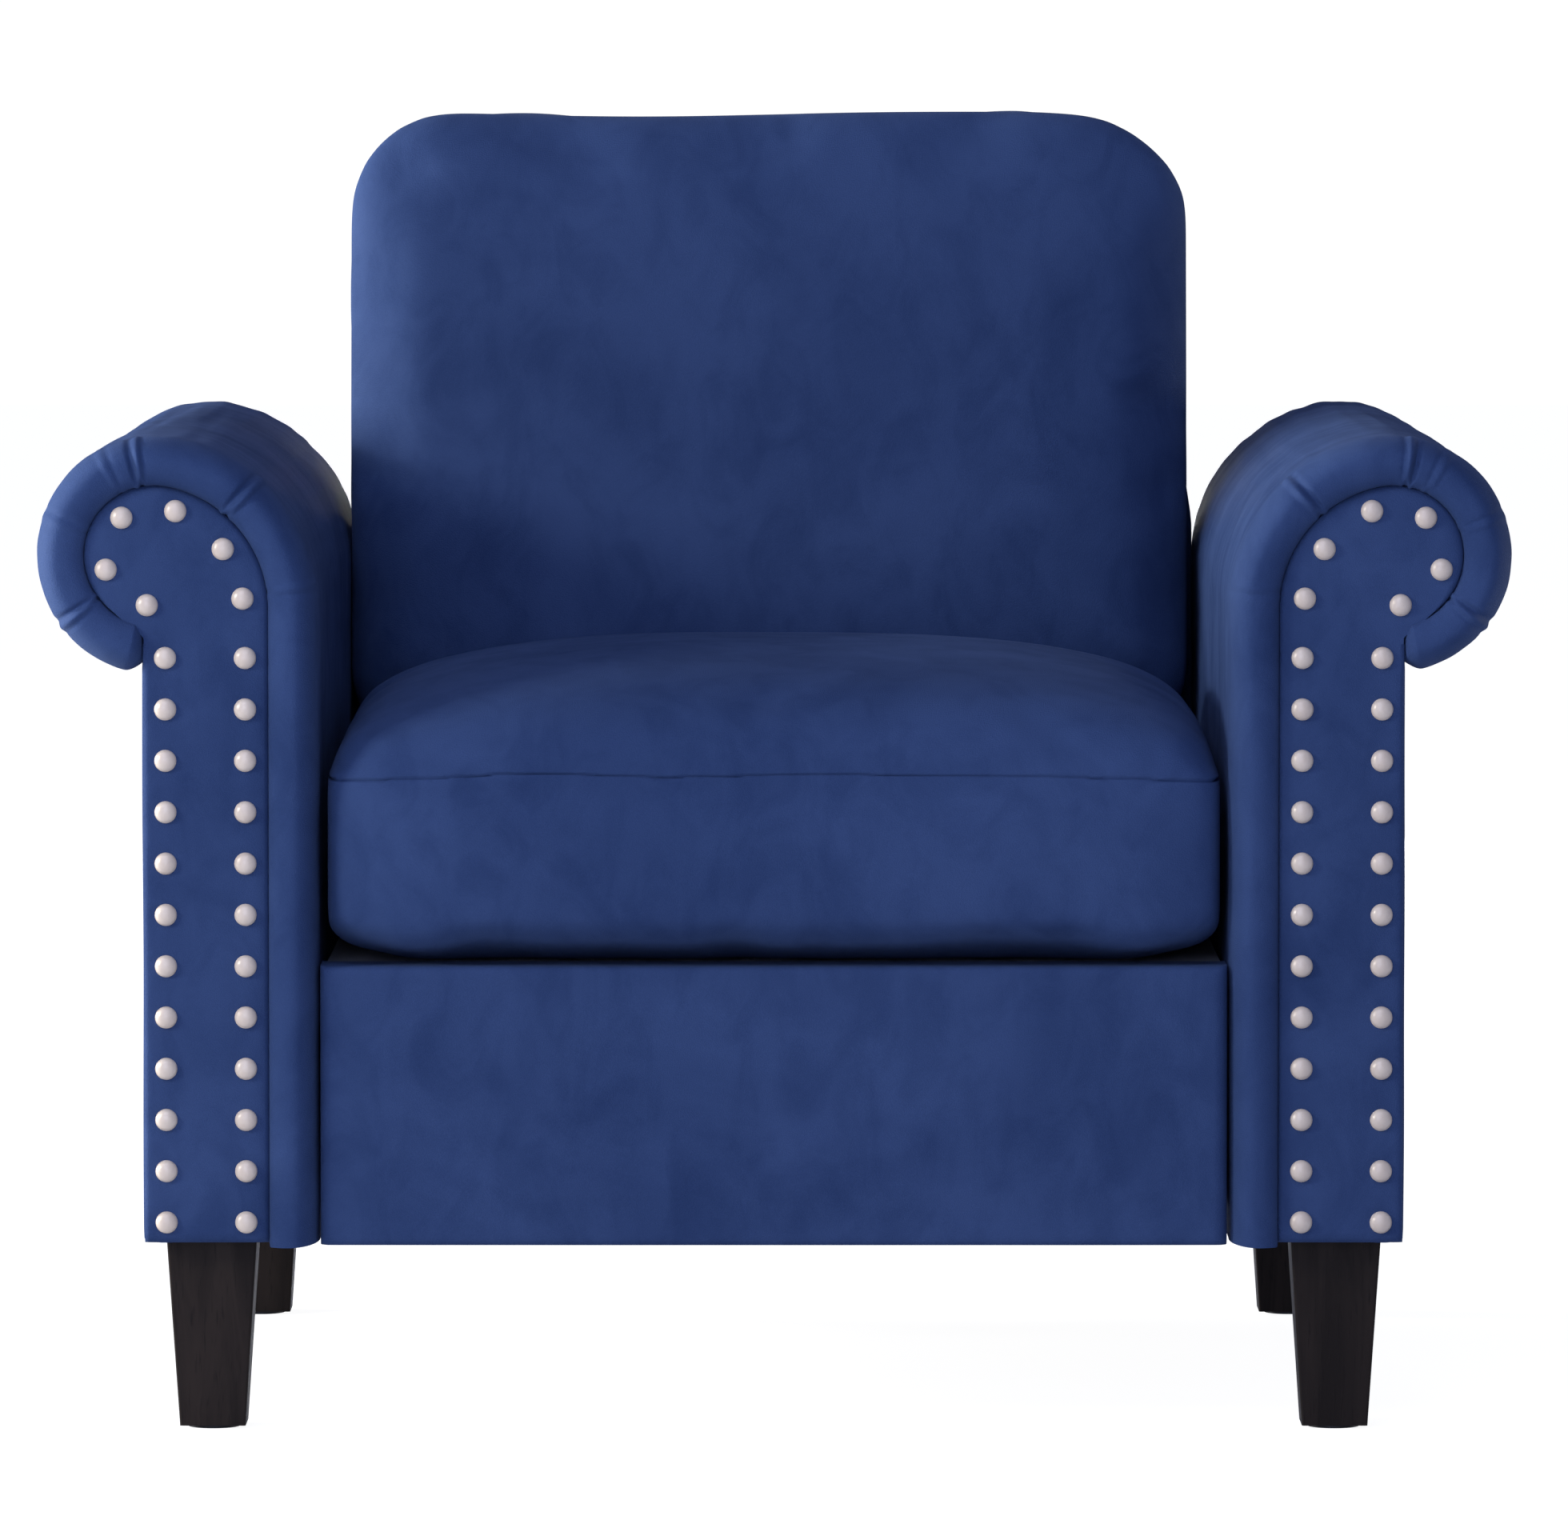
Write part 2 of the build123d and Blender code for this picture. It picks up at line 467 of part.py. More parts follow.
def make_legs_and_fasteners():
    feet = [("front_left", -LEG_X, LEG_FRONT_Y), ("front_right", LEG_X, LEG_FRONT_Y),
            ("rear_left", -LEG_X, LEG_REAR_Y), ("rear_right", LEG_X, LEG_REAR_Y)]
    for name, x, y in feet:
        save(f"leg_{name}", leg(x, y))
    save("leg_glides", *[rod((x, y, 0), (0, 0, 1), GLIDE_R, GLIDE_H) for _, x, y in feet])
    save("leg_hanger_bolts",
         *[rod((x, y, LEG_TOP_Z - 35), (0, 0, 1), M8_R, 60) for _, x, y in feet])

    board_z = LEG_TOP_Z + BOARD
    nuts = [tee_nut((x, y, board_z), (0, 0, 1)) for _, x, y in feet]
    bolts = []
    for side in (-1, 1):
        for y in SIDE_BOLT_Y:
            bolts.append(assembly_bolt((side * (SEAT_HALF - RAIL), y, SIDE_BOLT_Z), (side, 0, 0)))
            nuts.append(tee_nut((side * 306, y, SIDE_BOLT_Z), (side, 0, 0)))
        x = side * BACK_BOLT_X
        bolts.append(assembly_bolt((x, SEAT_REAR_Y - RAIL, BACK_BOLT_Z), (0, 1, 0)))
        nuts.append(tee_nut((x, SEAT_REAR_Y + 40, BACK_BOLT_Z), (0, 1, 0)))
    save("assembly_bolts", *bolts)
    save("tee_nuts", *nuts)

    front_y, rear_y = FACING_DEPTH + 0.5, ARM_REAR_Y - 6
    screws = []
    for side in (-1, 1):
        for x, z in ((SCROLL_X - 12, SCROLL_Z), (SCROLL_X + 12, SCROLL_Z)):
            screws.append(frame_screw((side * x, front_y, z), (0, 1, 0)))
            screws.append(frame_screw((side * x, rear_y, z), (0, -1, 0)))
        for z in (155, 215):
            screws.append(frame_screw((side * (SEAT_HALF - RAIL / 2), SEAT_FRONT_Y, z), (0, 1, 0)))
            screws.append(frame_screw((side * (SEAT_HALF - RAIL / 2), SEAT_REAR_Y, z), (0, -1, 0)))
    save("frame_screws", *screws)


make_arm_units()
make_seat_unit()
make_back_unit()
make_cushion()
make_legs_and_fasteners()
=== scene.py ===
# %% [markdown]
# # A velvet armchair with rolled arms
#
# The chair stands on the floor with the sitter facing -Y, and +X is on the right as seen from the
# front. The CAD frame inside it is already the right size, so it is loaded first and every padded
# piece takes its place from it. What this script adds is what an upholsterer adds: the stretched
# and stuffed velvet, the rolls and pleats, the nails, and the finish of each material.

# %% load the frame
import json
import math
import random

import bmesh
import bpy
from mathutils import Matrix, Vector, noise


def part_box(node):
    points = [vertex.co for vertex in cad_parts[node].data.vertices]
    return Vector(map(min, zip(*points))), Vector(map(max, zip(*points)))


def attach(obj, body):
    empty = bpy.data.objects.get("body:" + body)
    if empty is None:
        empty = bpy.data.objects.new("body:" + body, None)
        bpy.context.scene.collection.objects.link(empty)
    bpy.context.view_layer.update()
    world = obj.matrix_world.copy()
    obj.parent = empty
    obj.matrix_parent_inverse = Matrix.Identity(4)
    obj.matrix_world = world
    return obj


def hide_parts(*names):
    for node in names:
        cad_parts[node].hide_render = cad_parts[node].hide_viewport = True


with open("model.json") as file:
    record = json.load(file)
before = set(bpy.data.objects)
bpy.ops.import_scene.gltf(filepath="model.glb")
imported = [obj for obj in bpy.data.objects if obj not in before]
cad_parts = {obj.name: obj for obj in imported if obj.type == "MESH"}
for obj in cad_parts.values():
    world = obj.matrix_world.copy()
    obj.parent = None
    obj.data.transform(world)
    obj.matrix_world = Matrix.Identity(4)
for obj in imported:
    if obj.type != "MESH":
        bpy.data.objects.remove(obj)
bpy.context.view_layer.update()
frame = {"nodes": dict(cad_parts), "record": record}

# %% [markdown]
# ## Landmarks
#
# A few planes and radii describe the whole chair. They are read from the CAD nodes, so the
# velvet always fits the frame. `FRONT` is the face of the arm's facing panel, and the scroll is
# the round of the arm, seen from the front as a circle.

# %% landmarks from the frame
MM = 0.001
COVER_OVER_BOARD = 5 * MM
arm_low, arm_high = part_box("arm_cover_right")
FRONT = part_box("facing_cover_right")[0].y
REAR = arm_high.y
INNER_X = arm_low.x
OUTER_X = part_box("arm_outer_board_right")[1].x + COVER_OVER_BOARD
ARM_FOOT = arm_low.z
SCROLL_R = 69.5 * MM
SHOULDER_R = 101.0 * MM
SCROLL = Vector((arm_high.x - SCROLL_R, arm_high.z - SCROLL_R))
centre_gap = SHOULDER_R - SCROLL_R
shoulder_x = INNER_X + SHOULDER_R
shoulder_drop = math.sqrt(centre_gap**2 - (SCROLL.x - shoulder_x) ** 2)
SHOULDER = Vector((shoulder_x, SCROLL.y - shoulder_drop))
print("front", round(FRONT, 4), "rear", round(REAR, 4), "scroll centre", tuple(SCROLL))

# %% [markdown]
# ## Small helpers
#
# A stretched cover is a grid of cloth laid over a shape. `create_grid` makes the flat cloth, and a
# `place` function says where each point of it lies, with both grid directions running from 0 to 1.
# It is the quickest way to a smooth, even mesh that follows a curved form. `add_bar` makes the
# small hard blocks. `finish_piece` then gives a piece its body, its material slot and its shading.

# %% helpers for pieces
collection = bpy.context.scene.collection
finishes = {}


def mesh_object(name, bm):
    """Turns a finished bmesh into an object at the origin."""
    mesh = bpy.data.meshes.new(name)
    bm.to_mesh(mesh)
    bm.free()
    obj = bpy.data.objects.new(name, mesh)
    collection.objects.link(obj)
    return obj


def laid_cloth(name, columns, rows, place, flip=False):
    """A grid of cloth, laid where place(u, v) says. flip turns its outer side round."""
    bm = bmesh.new()
    bmesh.ops.create_grid(bm, x_segments=columns, y_segments=rows, size=0.5)
    for vert in bm.verts:
        vert.co = place(vert.co.x + 0.5, vert.co.y + 0.5)
    if flip:
        bmesh.ops.reverse_faces(bm, faces=bm.faces)
    return mesh_object(name, bm)


def add_bar(bm, place, size, bevel, segments=1):
    """Adds a block with bevelled edges."""
    made = bmesh.ops.create_cube(bm, size=1, matrix=place @ Matrix.Diagonal((*size, 1)))
    edges = {e for v in made["verts"] for e in v.link_edges}
    bmesh.ops.bevel(bm, geom=list(edges), offset=bevel, segments=segments, profile=0.5,
                    affect="EDGES", material=-1)


def finish_piece(obj, slot, replaced=(), body="chair", smooth=True, levels=0):
    """Slot, body and shading of a finished piece, and a live subdivision where asked."""
    for polygon in obj.data.polygons:
        polygon.use_smooth = smooth
    if levels:
        subdivision = obj.modifiers.new("Subdivision", "SUBSURF")
        subdivision.levels = subdivision.render_levels = levels
    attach(obj, body)
    if replaced:
        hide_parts(*replaced)
    finishes.setdefault(slot, []).append(obj)
    print(obj.name, len(obj.data.polygons), "faces")


def ease(low, high, value):
    """0 below low, 1 above high, and a smooth step between them."""
    share = min(1.0, max(0.0, (value - low) / (high - low)))
    return share * share * (3 - 2 * share)


def bump_at(value, centre, width):
    """A bell curve of height 1 at centre."""
    return math.exp(-((value - centre) / width) ** 2)


def unevenness(x, y, z, scale, seed):
    """Slow, smooth unevenness between about -1 and 1."""
    return noise.noise(Vector((x * scale + seed, y * scale, z * scale)))


# %% [markdown]
# ## The outline of an arm
#
# The arm's cover starts at the foot of its inner side, runs straight up, swings over a large
# shoulder arc into the tighter scroll, and tucks in under the scroll against the outside panel.
# The two arcs are concentric with those of the facing, so one function serves both: `inset` is how
# far inside the cover's surface a point lies.

# %% arm outline
INNER_RUN = SHOULDER.y - ARM_FOOT
MEET = math.atan2(SCROLL.y - SHOULDER.y, SCROLL.x - SHOULDER.x)
SHOULDER_RUN = SHOULDER_R * (math.pi - MEET)
UNDER = math.radians(-75.0)
SCROLL_RUN = SCROLL_R * (MEET - UNDER)
TUCK_RUN = 16 * MM
ROLL_WIDTH = 28.5 * MM
TUCK_Z = 451.5 * MM
TUCK_BEND = 3.5 * MM
TUCK_IN = 0.3 * MM
SEAM_END_Z = 467 * MM
COVER_RUN = INNER_RUN + SHOULDER_RUN + SCROLL_RUN + TUCK_RUN


def run_at_angle(degrees, on_shoulder=False):
    """Distance along the cover at an angle round the scroll, or round the shoulder."""
    turn = math.radians(degrees)
    if on_shoulder:
        return INNER_RUN + SHOULDER_R * (math.pi - turn)
    return INNER_RUN + SHOULDER_RUN + SCROLL_R * (MEET - turn)


def arm_outline(run, inset):
    """X and Z on the arm's outline, at a distance along the cover and an inset from it."""
    if run <= INNER_RUN:
        return Vector((INNER_X + inset, ARM_FOOT + run))
    run -= INNER_RUN
    if run <= SHOULDER_RUN:
        turn = math.pi - run / SHOULDER_R
        return SHOULDER + Vector((math.cos(turn), math.sin(turn))) * (SHOULDER_R - inset)
    run -= SHOULDER_RUN
    if run <= SCROLL_RUN:
        turn = MEET - run / SCROLL_R
        return SCROLL + Vector((math.cos(turn), math.sin(turn))) * (SCROLL_R - inset)
    share = min(1.0, (run - SCROLL_RUN) / TUCK_RUN)
    start = SCROLL + Vector((math.cos(UNDER), math.sin(UNDER))) * (SCROLL_R - inset)
    depth = inset / ROLL_WIDTH
    end = Vector((OUTER_X - TUCK_IN, TUCK_Z + (SEAM_END_Z - TUCK_Z) * depth))
    turn_point = start + Vector((math.sin(UNDER), -math.cos(UNDER))) * (TUCK_BEND * (1 - depth))
    return start.lerp(turn_point, share).lerp(turn_point.lerp(end, share), share)


def arm_outward(run):
    """The direction out of the cover, in X and Z."""
    return (arm_outline(run, 0) - arm_outline(run, 6 * MM)).normalized()


print("the cover runs", round(COVER_RUN, 3), "m from foot to tuck")

# %% [markdown]
# ## The padded arms
#
# Round the front of each arm the cover rolls forward over a fat edge and disappears into the seam
# beside the facing. Velvet that goes round so tight a bend has too much length at the seam, so the
# upholsterer gathers it in small pleats. Each pleat is a crease with a ridge beside it, deepest at
# the seam, and it dies out where the cover straightens. They are pushed into the mesh itself, so
# they cast real shadows.

# %% pleats
PLEATS = (
    # where along the cover, depth in mm, which side the ridge is on, lean across the roll in mm
    (run_at_angle(77), 2.9, -1, 0.0),
    (run_at_angle(66), 0.9, 1, 1.0),
    (run_at_angle(23), 0.8, 1, 0.0),
    (run_at_angle(-34), 2.4, 1, 0.0),
    (run_at_angle(129, True), 2.7, -1, -1.5),
    (run_at_angle(174.5, True), 0.9, 1, 0.0),
)
CREASE = 2.1
RIDGE = 2.5
RIDGE_OFFSET = 4.9
SECOND_CREASE = 8.6
PLEAT_REACH = 18
RIDGE_SHARE = 0.8
SECOND_SHARE = 0.35


def pleat_height(run, across):
    """How far the pleats lift or sink the cover. across is 0 at the seam and 1 behind the roll."""
    fade = ease(1.3, 0.6, across) * (0.35 + 0.65 * ease(0.0, 0.22, across))
    total = 0.0
    for centre, depth, side, lean in PLEATS:
        offset = side * ((run - centre) / MM - lean * across)
        if abs(offset) < PLEAT_REACH:
            total -= depth * bump_at(offset, 0, CREASE)
            total += RIDGE_SHARE * depth * bump_at(offset, RIDGE_OFFSET, RIDGE)
            total -= SECOND_SHARE * depth * bump_at(offset, SECOND_CREASE, CREASE)
    return total * fade * MM


# %% [markdown]
# The cover is one grid of cloth. One direction follows the outline from the foot round the scroll,
# with its lines close together where a pleat needs them, and the other goes from the seam over the
# front roll and back along the arm to the rear edge.

# %% arm cover
FRONT_BULGE = 8 * MM
ROLL_BACK = 30 * MM
REAR_ROUND = 9 * MM
FINE_STEP, ROUND_STEP, STRAIGHT_STEP = 1.1 * MM, 2.8 * MM, 6 * MM
SLOW_WAVE, FINE_WAVE, STREAK_WAVE = 0.9 * MM, 0.35 * MM, 0.8 * MM


def roll_section(share):
    """Inset and depth behind the facing plane, from the seam to where the roll ends."""
    turn = math.pi * share
    half_width = ROLL_WIDTH / 2
    inset = half_width * (1 + math.cos(turn))
    back = 10 * MM if share < 0.5 else ROLL_BACK
    return inset, -FRONT_BULGE + back * (1 - math.sin(turn))


def cover_runs():
    """Positions along the cover: far apart on the straight side, close where it bends or pleats."""
    runs = []
    run = 0.0
    while run < COVER_RUN - 0.5 * MM:
        runs.append(run)
        to_pleat = min(abs(run - pleat[0]) for pleat in PLEATS)
        step = STRAIGHT_STEP if run < INNER_RUN - 30 * MM else ROUND_STEP
        run += FINE_STEP if to_pleat < 13 * MM else step
    return runs + [COVER_RUN]


COVER_RUNS = cover_runs()
ROLL_STEPS = 18
LENGTH_STEPS = 56
REAR_STEPS = 6
ACROSS_STEPS = 2 + ROLL_STEPS + LENGTH_STEPS + REAR_STEPS


def arm_cover_point(run, step, side):
    """One point of an arm's cover. step counts from the seam lip in front to the rear seam."""
    if step < 2:
        inset, depth = ROLL_WIDTH + (1.2 - 0.6 * step) * MM, (9 - 3.5 * step) * MM
        across = 0.0
    elif step < 2 + ROLL_STEPS:
        across = (step - 2) / ROLL_STEPS
        inset, depth = roll_section(across)
    elif step < 2 + ROLL_STEPS + LENGTH_STEPS:
        share = (step - 2 - ROLL_STEPS) / LENGTH_STEPS
        start = ROLL_BACK - FRONT_BULGE
        length = REAR - FRONT - REAR_ROUND - start
        inset, depth = 0.0, start + length * share**1.25
        across = 1 + share * 8
    else:
        turn = (step - 2 - ROLL_STEPS - LENGTH_STEPS) / REAR_STEPS * math.pi / 2
        inset = REAR_ROUND * (1 - math.cos(turn))
        depth = REAR - FRONT - REAR_ROUND * (1 - math.sin(turn))
        across = 9.0
    # the roll pinches shut where the cover ends under the scroll
    left_over = (COVER_RUN - run) / (14 * MM)
    pinch = math.sqrt(max(0.0, 1 - (1 - left_over) ** 2)) if left_over < 1 else 1.0
    if depth < 4 * MM and step >= 2:
        depth = 4 * MM + (depth - 4 * MM) * pinch
    spot = arm_outline(run, inset)
    outward = arm_outward(run)
    lift = pleat_height(run, across) if across < 1.3 else 0.0
    roll_facing = math.sin(math.pi * min(across, 1.0)) if across <= 1 else 0.0
    slow = unevenness(run * 1.6, depth * 0.55, side * 3.1, 14, 5.0)
    fine = unevenness(run * 3.0, depth * 0.35, side * 1.7, 30, 9.0)
    wobble = (SLOW_WAVE * slow + FINE_WAVE * fine) * ease(0.2, 1.2, across) * pinch
    streak = STREAK_WAVE * unevenness(run * 5.2, depth * 0.16, side * 2.3, 22, 2.0)
    streak *= ease(INNER_RUN - 0.02, INNER_RUN + 0.1, run) * ease(1.0, 1.6, across)
    out = wobble + streak + lift * (1 - 0.8 * roll_facing)
    spot = spot + outward * out
    depth -= lift * roll_facing * 0.9
    if run < 6 * MM and across > 0:
        spot.y -= 3 * MM * ease(1.2, 0.4, across)
    return Vector((side * spot.x, FRONT + depth, spot.y))


def arm_cover(side, name):
    def place(u, v):
        run = COVER_RUNS[round(u * (len(COVER_RUNS) - 1))]
        return arm_cover_point(run, round(v * ACROSS_STEPS), side)

    return laid_cloth(name, len(COVER_RUNS) - 1, ACROSS_STEPS, place, flip=side > 0)


SIDES = ((-1, "left"), (1, "right"))
for side, word in SIDES:
    cover = arm_cover(side, f"arm_pad_{word}")
    finish_piece(cover, "velvet", (f"arm_cover_{word}", f"arm_foam_{word}"), levels=1)

# %% [markdown]
# ## The facings
#
# The flat panel on the front of each arm is a board wrapped in velvet and nailed on. It is laid
# out as a fan: each line of the grid starts on the curved seam and ends on the outer edge, and all
# the lines of the scroll's round meet in the corner where the cover tucks under. The velvet rises
# a little away from the seam and sinks round every nail.

# %% nail places
NAIL_R = 6.6 * MM
NAIL_INSET = 13.0 * MM
NAIL_PITCH = 30 * MM
NAIL_ROWS = 12
NAIL_FIRST_Z = 124 * MM
SHOULDER_NAILS = (174.0, 143.0)  # degrees round the shoulder
SCROLL_NAILS = (116.0, 50.0, -16.0, -82.0)  # degrees round the scroll


def nail_places():
    """X and Z of the thirty nails of the right arm, as the CAD nails have them."""
    inner = INNER_X + ROLL_WIDTH + 0.5 * MM + NAIL_INSET
    outer = OUTER_X - NAIL_INSET
    rows = [NAIL_FIRST_Z + NAIL_PITCH * row for row in range(NAIL_ROWS)]
    places = [Vector((x, z)) for z in rows for x in (inner, outer)]
    shoulder_line = SHOULDER_R - ROLL_WIDTH - NAIL_INSET - 1.5 * MM
    for degrees in SHOULDER_NAILS:
        turn = math.radians(degrees)
        places.append(SHOULDER + Vector((math.cos(turn), math.sin(turn))) * shoulder_line)
    scroll_line = SCROLL_R - ROLL_WIDTH - NAIL_INSET + 1 * MM
    for degrees in SCROLL_NAILS:
        turn = math.radians(degrees)
        places.append(SCROLL + Vector((math.cos(turn), math.sin(turn))) * scroll_line)
    return places


NAILS = nail_places()
print(len(NAILS), "nails to an arm")

# %% [markdown]
# Every nail pulls the velvet in around it, so the panel's function needs the nails' places. The
# lips at its edges turn back into the seams, which leaves a dark line and no gap.

# %% facing panels
FACING_SIDE = 7 * MM
FACING_RUNS = 210
FACING_ROWS = 34
FOOT_FOLD = 8 * MM
LIP_SHARE, FLAT_SHARE = 0.06, 0.88
LIP_SPAN = 0.068
NAIL_PULL, NAIL_PULL_WIDTH = 0.75 * MM, 9 * MM
NAIL_REACH = 24 * MM


def facing_point(u, v, side):
    """A point of the facing. v runs from the lip in the seam to the outer side edge."""
    run = -FOOT_FOLD + (COVER_RUN - TUCK_RUN * 0.5 + FOOT_FOLD) * u
    seam = arm_outline(max(0.0, run), ROLL_WIDTH + 0.6 * MM)
    hub_z = SEAM_END_Z - 5 * MM
    round_share = (run - hub_z + ARM_FOOT) / (COVER_RUN - hub_z + ARM_FOOT)
    far = Vector((OUTER_X - 0.6 * MM, min(seam.y, hub_z) + 4.5 * MM * max(0.0, round_share)))
    across = (v - LIP_SHARE) / FLAT_SHARE
    spot = seam.lerp(far, min(1.0, max(0.0, across)))
    from_seam = (spot - seam).length
    from_side = (spot - far).length
    depth = 1.6 * MM * math.exp(-from_seam / (2.2 * MM)) - 0.7 * MM * ease(0, 12 * MM, from_seam)
    if across < 0:
        depth += FACING_SIDE * (-across / LIP_SPAN)
        spot = spot - (far - seam).normalized() * 0.4 * MM
    if run <= SEAM_END_Z - ARM_FOOT:
        side_edge = ease(SEAM_END_Z - ARM_FOOT, SEAM_END_Z - ARM_FOOT - 40 * MM, run)
        depth += 1.4 * MM * math.exp(-from_side / (1.3 * MM)) * side_edge
        if across > 1:
            depth += FACING_SIDE * (across - 1) / LIP_SPAN
            spot.x = OUTER_X - 0.2 * MM
    if run < 0:
        fold = -run / FOOT_FOLD
        spot.y = ARM_FOOT - 0.4 * MM
        depth += 1.2 * MM + 9 * MM * fold
    elif run < 3 * MM:
        depth += 1.2 * MM * (1 - run / (3 * MM)) ** 2
    for nail in NAILS:
        near = (spot - nail).length
        if near < NAIL_REACH:
            depth += NAIL_PULL * bump_at(near, 0, NAIL_PULL_WIDTH)
    depth += 0.25 * MM * unevenness(spot.x, side, spot.y, 30, 3.0)
    return Vector((side * spot.x, FRONT + depth, spot.y))


for side, word in SIDES:
    facing = laid_cloth(f"facing_pad_{word}", FACING_RUNS, FACING_ROWS,
                        lambda u, v: facing_point(u, v, side), flip=side > 0)
    finish_piece(facing, "velvet", (f"facing_cover_{word}",))

# %% [markdown]
# ## Nailheads
#
# A decorative nail is a thin domed cap with a rolled lip. One half section is spun round to make
# it, copied to every place, and each copy is tipped by a degree or two, as nails driven by hand
# are.

# %% nailheads
NAIL_HEIGHT = 4.6 * MM
NAIL_TIP = 1.6  # degrees
DOME_STEPS = 6
SPIN_STEPS = 24


def add_nail(bm, matrix):
    """One domed cap, its axis along local Z, with its lip on local Z = 0."""
    section = []
    for step in range(DOME_STEPS + 1):
        turn = math.pi / 2 * step / DOME_STEPS
        section.append(Vector((NAIL_R * math.sin(turn) ** 0.92, 0, NAIL_HEIGHT * math.cos(turn))))
    section.append(Vector((NAIL_R * 0.99, 0, -0.5 * MM)))
    section.append(Vector((NAIL_R * 0.86, 0, -0.9 * MM)))
    verts = [bm.verts.new(point) for point in section]
    edges = [bm.edges.new(pair) for pair in zip(verts, verts[1:])]
    bmesh.ops.spin(bm, geom=verts + edges, axis=(0, 0, 1), cent=(0, 0, 0),
                   angle=2 * math.pi, steps=SPIN_STEPS, use_merge=True)
    mine = [v for v in bm.verts if not v.tag]
    bmesh.ops.remove_doubles(bm, verts=mine, dist=0.01 * MM)
    mine = [v for v in bm.verts if not v.tag]
    bmesh.ops.transform(bm, matrix=matrix, verts=mine)
    for vert in mine:
        vert.tag = True


def nailheads(side, name):
    draw = random.Random(side + 7)
    bm = bmesh.new()
    for nail in NAILS:
        tip = Matrix.Rotation(math.radians(draw.uniform(-NAIL_TIP, NAIL_TIP)), 4, "Y")
        tip @= Matrix.Rotation(math.radians(draw.uniform(-NAIL_TIP, NAIL_TIP)), 4, "X")
        place = Vector((side * nail.x, FRONT + 0.2 * MM, nail.y))
        add_nail(bm, Matrix.Translation(place) @ Matrix.Rotation(math.pi / 2, 4, "X") @ tip)
    bmesh.ops.recalc_face_normals(bm, faces=bm.faces)
    return mesh_object(name, bm)


for side, word in SIDES:
    heads = nailheads(side, f"nail_trim_{word}")
    finish_piece(heads, "nail_metal", (f"nailheads_{word}",))

# %% [markdown]
# ## Outside panels of the arms
#
# The outer side of each arm is one flat piece of velvet over board, pulled tight from under the
# scroll to the foot. Its edges turn in at the front, foot and rear, so the grid has a border
# that rolls inwards. The rear of the arm has a small flat panel of the same outline.

# %% outside panels
PANEL_LIP = 8 * MM
PANEL_ROUND = 3.5 * MM
PANEL_SWELL, PANEL_WAVE = 1.6 * MM, 0.5 * MM


def rolled_edge(share, low, high, radius, lip):
    """Position along one direction and sink, for a panel whose edges roll over and turn in."""
    bend = radius * math.pi / 2
    flat = high - low - 2 * radius
    total = flat + 2 * bend + 2 * lip
    walk = share * total
    for start, sign, edge in ((low, 1, walk), (high, -1, total - walk)):
        if edge < lip:
            return start, radius + lip - edge
        if edge < lip + bend:
            turn = (edge - lip) / radius
            return start + sign * radius * (1 - math.cos(turn)), radius * (1 - math.sin(turn))
    return low + radius + walk - lip - bend, 0.0


def outside_point(u, v, side):
    y, sink_y = rolled_edge(u, FRONT + 1.8 * MM, REAR - 2 * MM, PANEL_ROUND, PANEL_LIP)
    z, sink_z = rolled_edge(v, ARM_FOOT - 0.6 * MM, TUCK_Z + 4 * MM, PANEL_ROUND, PANEL_LIP)
    swell = PANEL_SWELL * math.sin(math.pi * u) ** 0.6 * math.sin(math.pi * v) ** 0.6
    swell += PANEL_WAVE * unevenness(side, y, z, 9, 1.0)
    sink = max(sink_y, sink_z) if min(sink_y, sink_z) < PANEL_ROUND else sink_y + sink_z
    return Vector((side * (OUTER_X + 0.3 * MM + swell - sink), y, z))


for side, word in SIDES:
    panel = laid_cloth(f"arm_outside_{word}", 110, 60, lambda u, v: outside_point(u, v, side),
                       flip=side < 0)
    finish_piece(panel, "velvet")


def rear_point(u, v, side):
    """A point on the panel that closes the rear of an arm."""
    run = (COVER_RUN - TUCK_RUN * 0.2) * u
    seam = arm_outline(run, REAR_ROUND + 0.4 * MM)
    far = Vector((OUTER_X - 1.5 * MM, min(seam.y, TUCK_Z + 10 * MM)))
    spot = seam.lerp(far, v)
    from_edge = min((spot - seam).length, (spot - far).length + 2 * MM, 30 * MM)
    sink = 3 * MM * math.exp(-from_edge / (2 * MM))
    return Vector((side * spot.x, REAR + 0.6 * MM - sink, spot.y))


for side, word in SIDES:
    panel = laid_cloth(f"arm_rear_{word}", 160, 20, lambda u, v: rear_point(u, v, side),
                       flip=side < 0)
    finish_piece(panel, "velvet")

# %% [markdown]
# ## The front rail
#
# Under the cushion the rail is padded and covered in one piece: it rolls over at the top, where
# the cushion rests on it, and tucks under at the foot. Its ends press against the arms, which
# leaves a dark line on either side.

# %% front rail
rail_low, rail_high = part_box("front_rail_cover")
RAIL_SIDE_ROUND, RAIL_SIDE_LIP = 6 * MM, 10 * MM
RAIL_ROUND, RAIL_LIP = 3 * MM, 38 * MM
RAIL_SWELL, RAIL_WAVE = 2.2 * MM, 0.6 * MM


def front_rail_point(u, v):
    x, sink_x = rolled_edge(u, rail_low.x - 1 * MM, rail_high.x + 1 * MM,
                            RAIL_SIDE_ROUND, RAIL_SIDE_LIP)
    z, sink_z = rolled_edge(v, rail_low.z, rail_high.z, RAIL_ROUND, RAIL_LIP)
    swell = RAIL_SWELL * math.sin(math.pi * u) ** 0.35 * math.sin(math.pi * v) ** 0.35
    swell += RAIL_WAVE * unevenness(x, 0, z, 8, 4.0)
    sink = sink_x + sink_z
    return Vector((x, rail_low.y + 2 * MM - swell * ease(8 * MM, 0, sink) + sink, z))


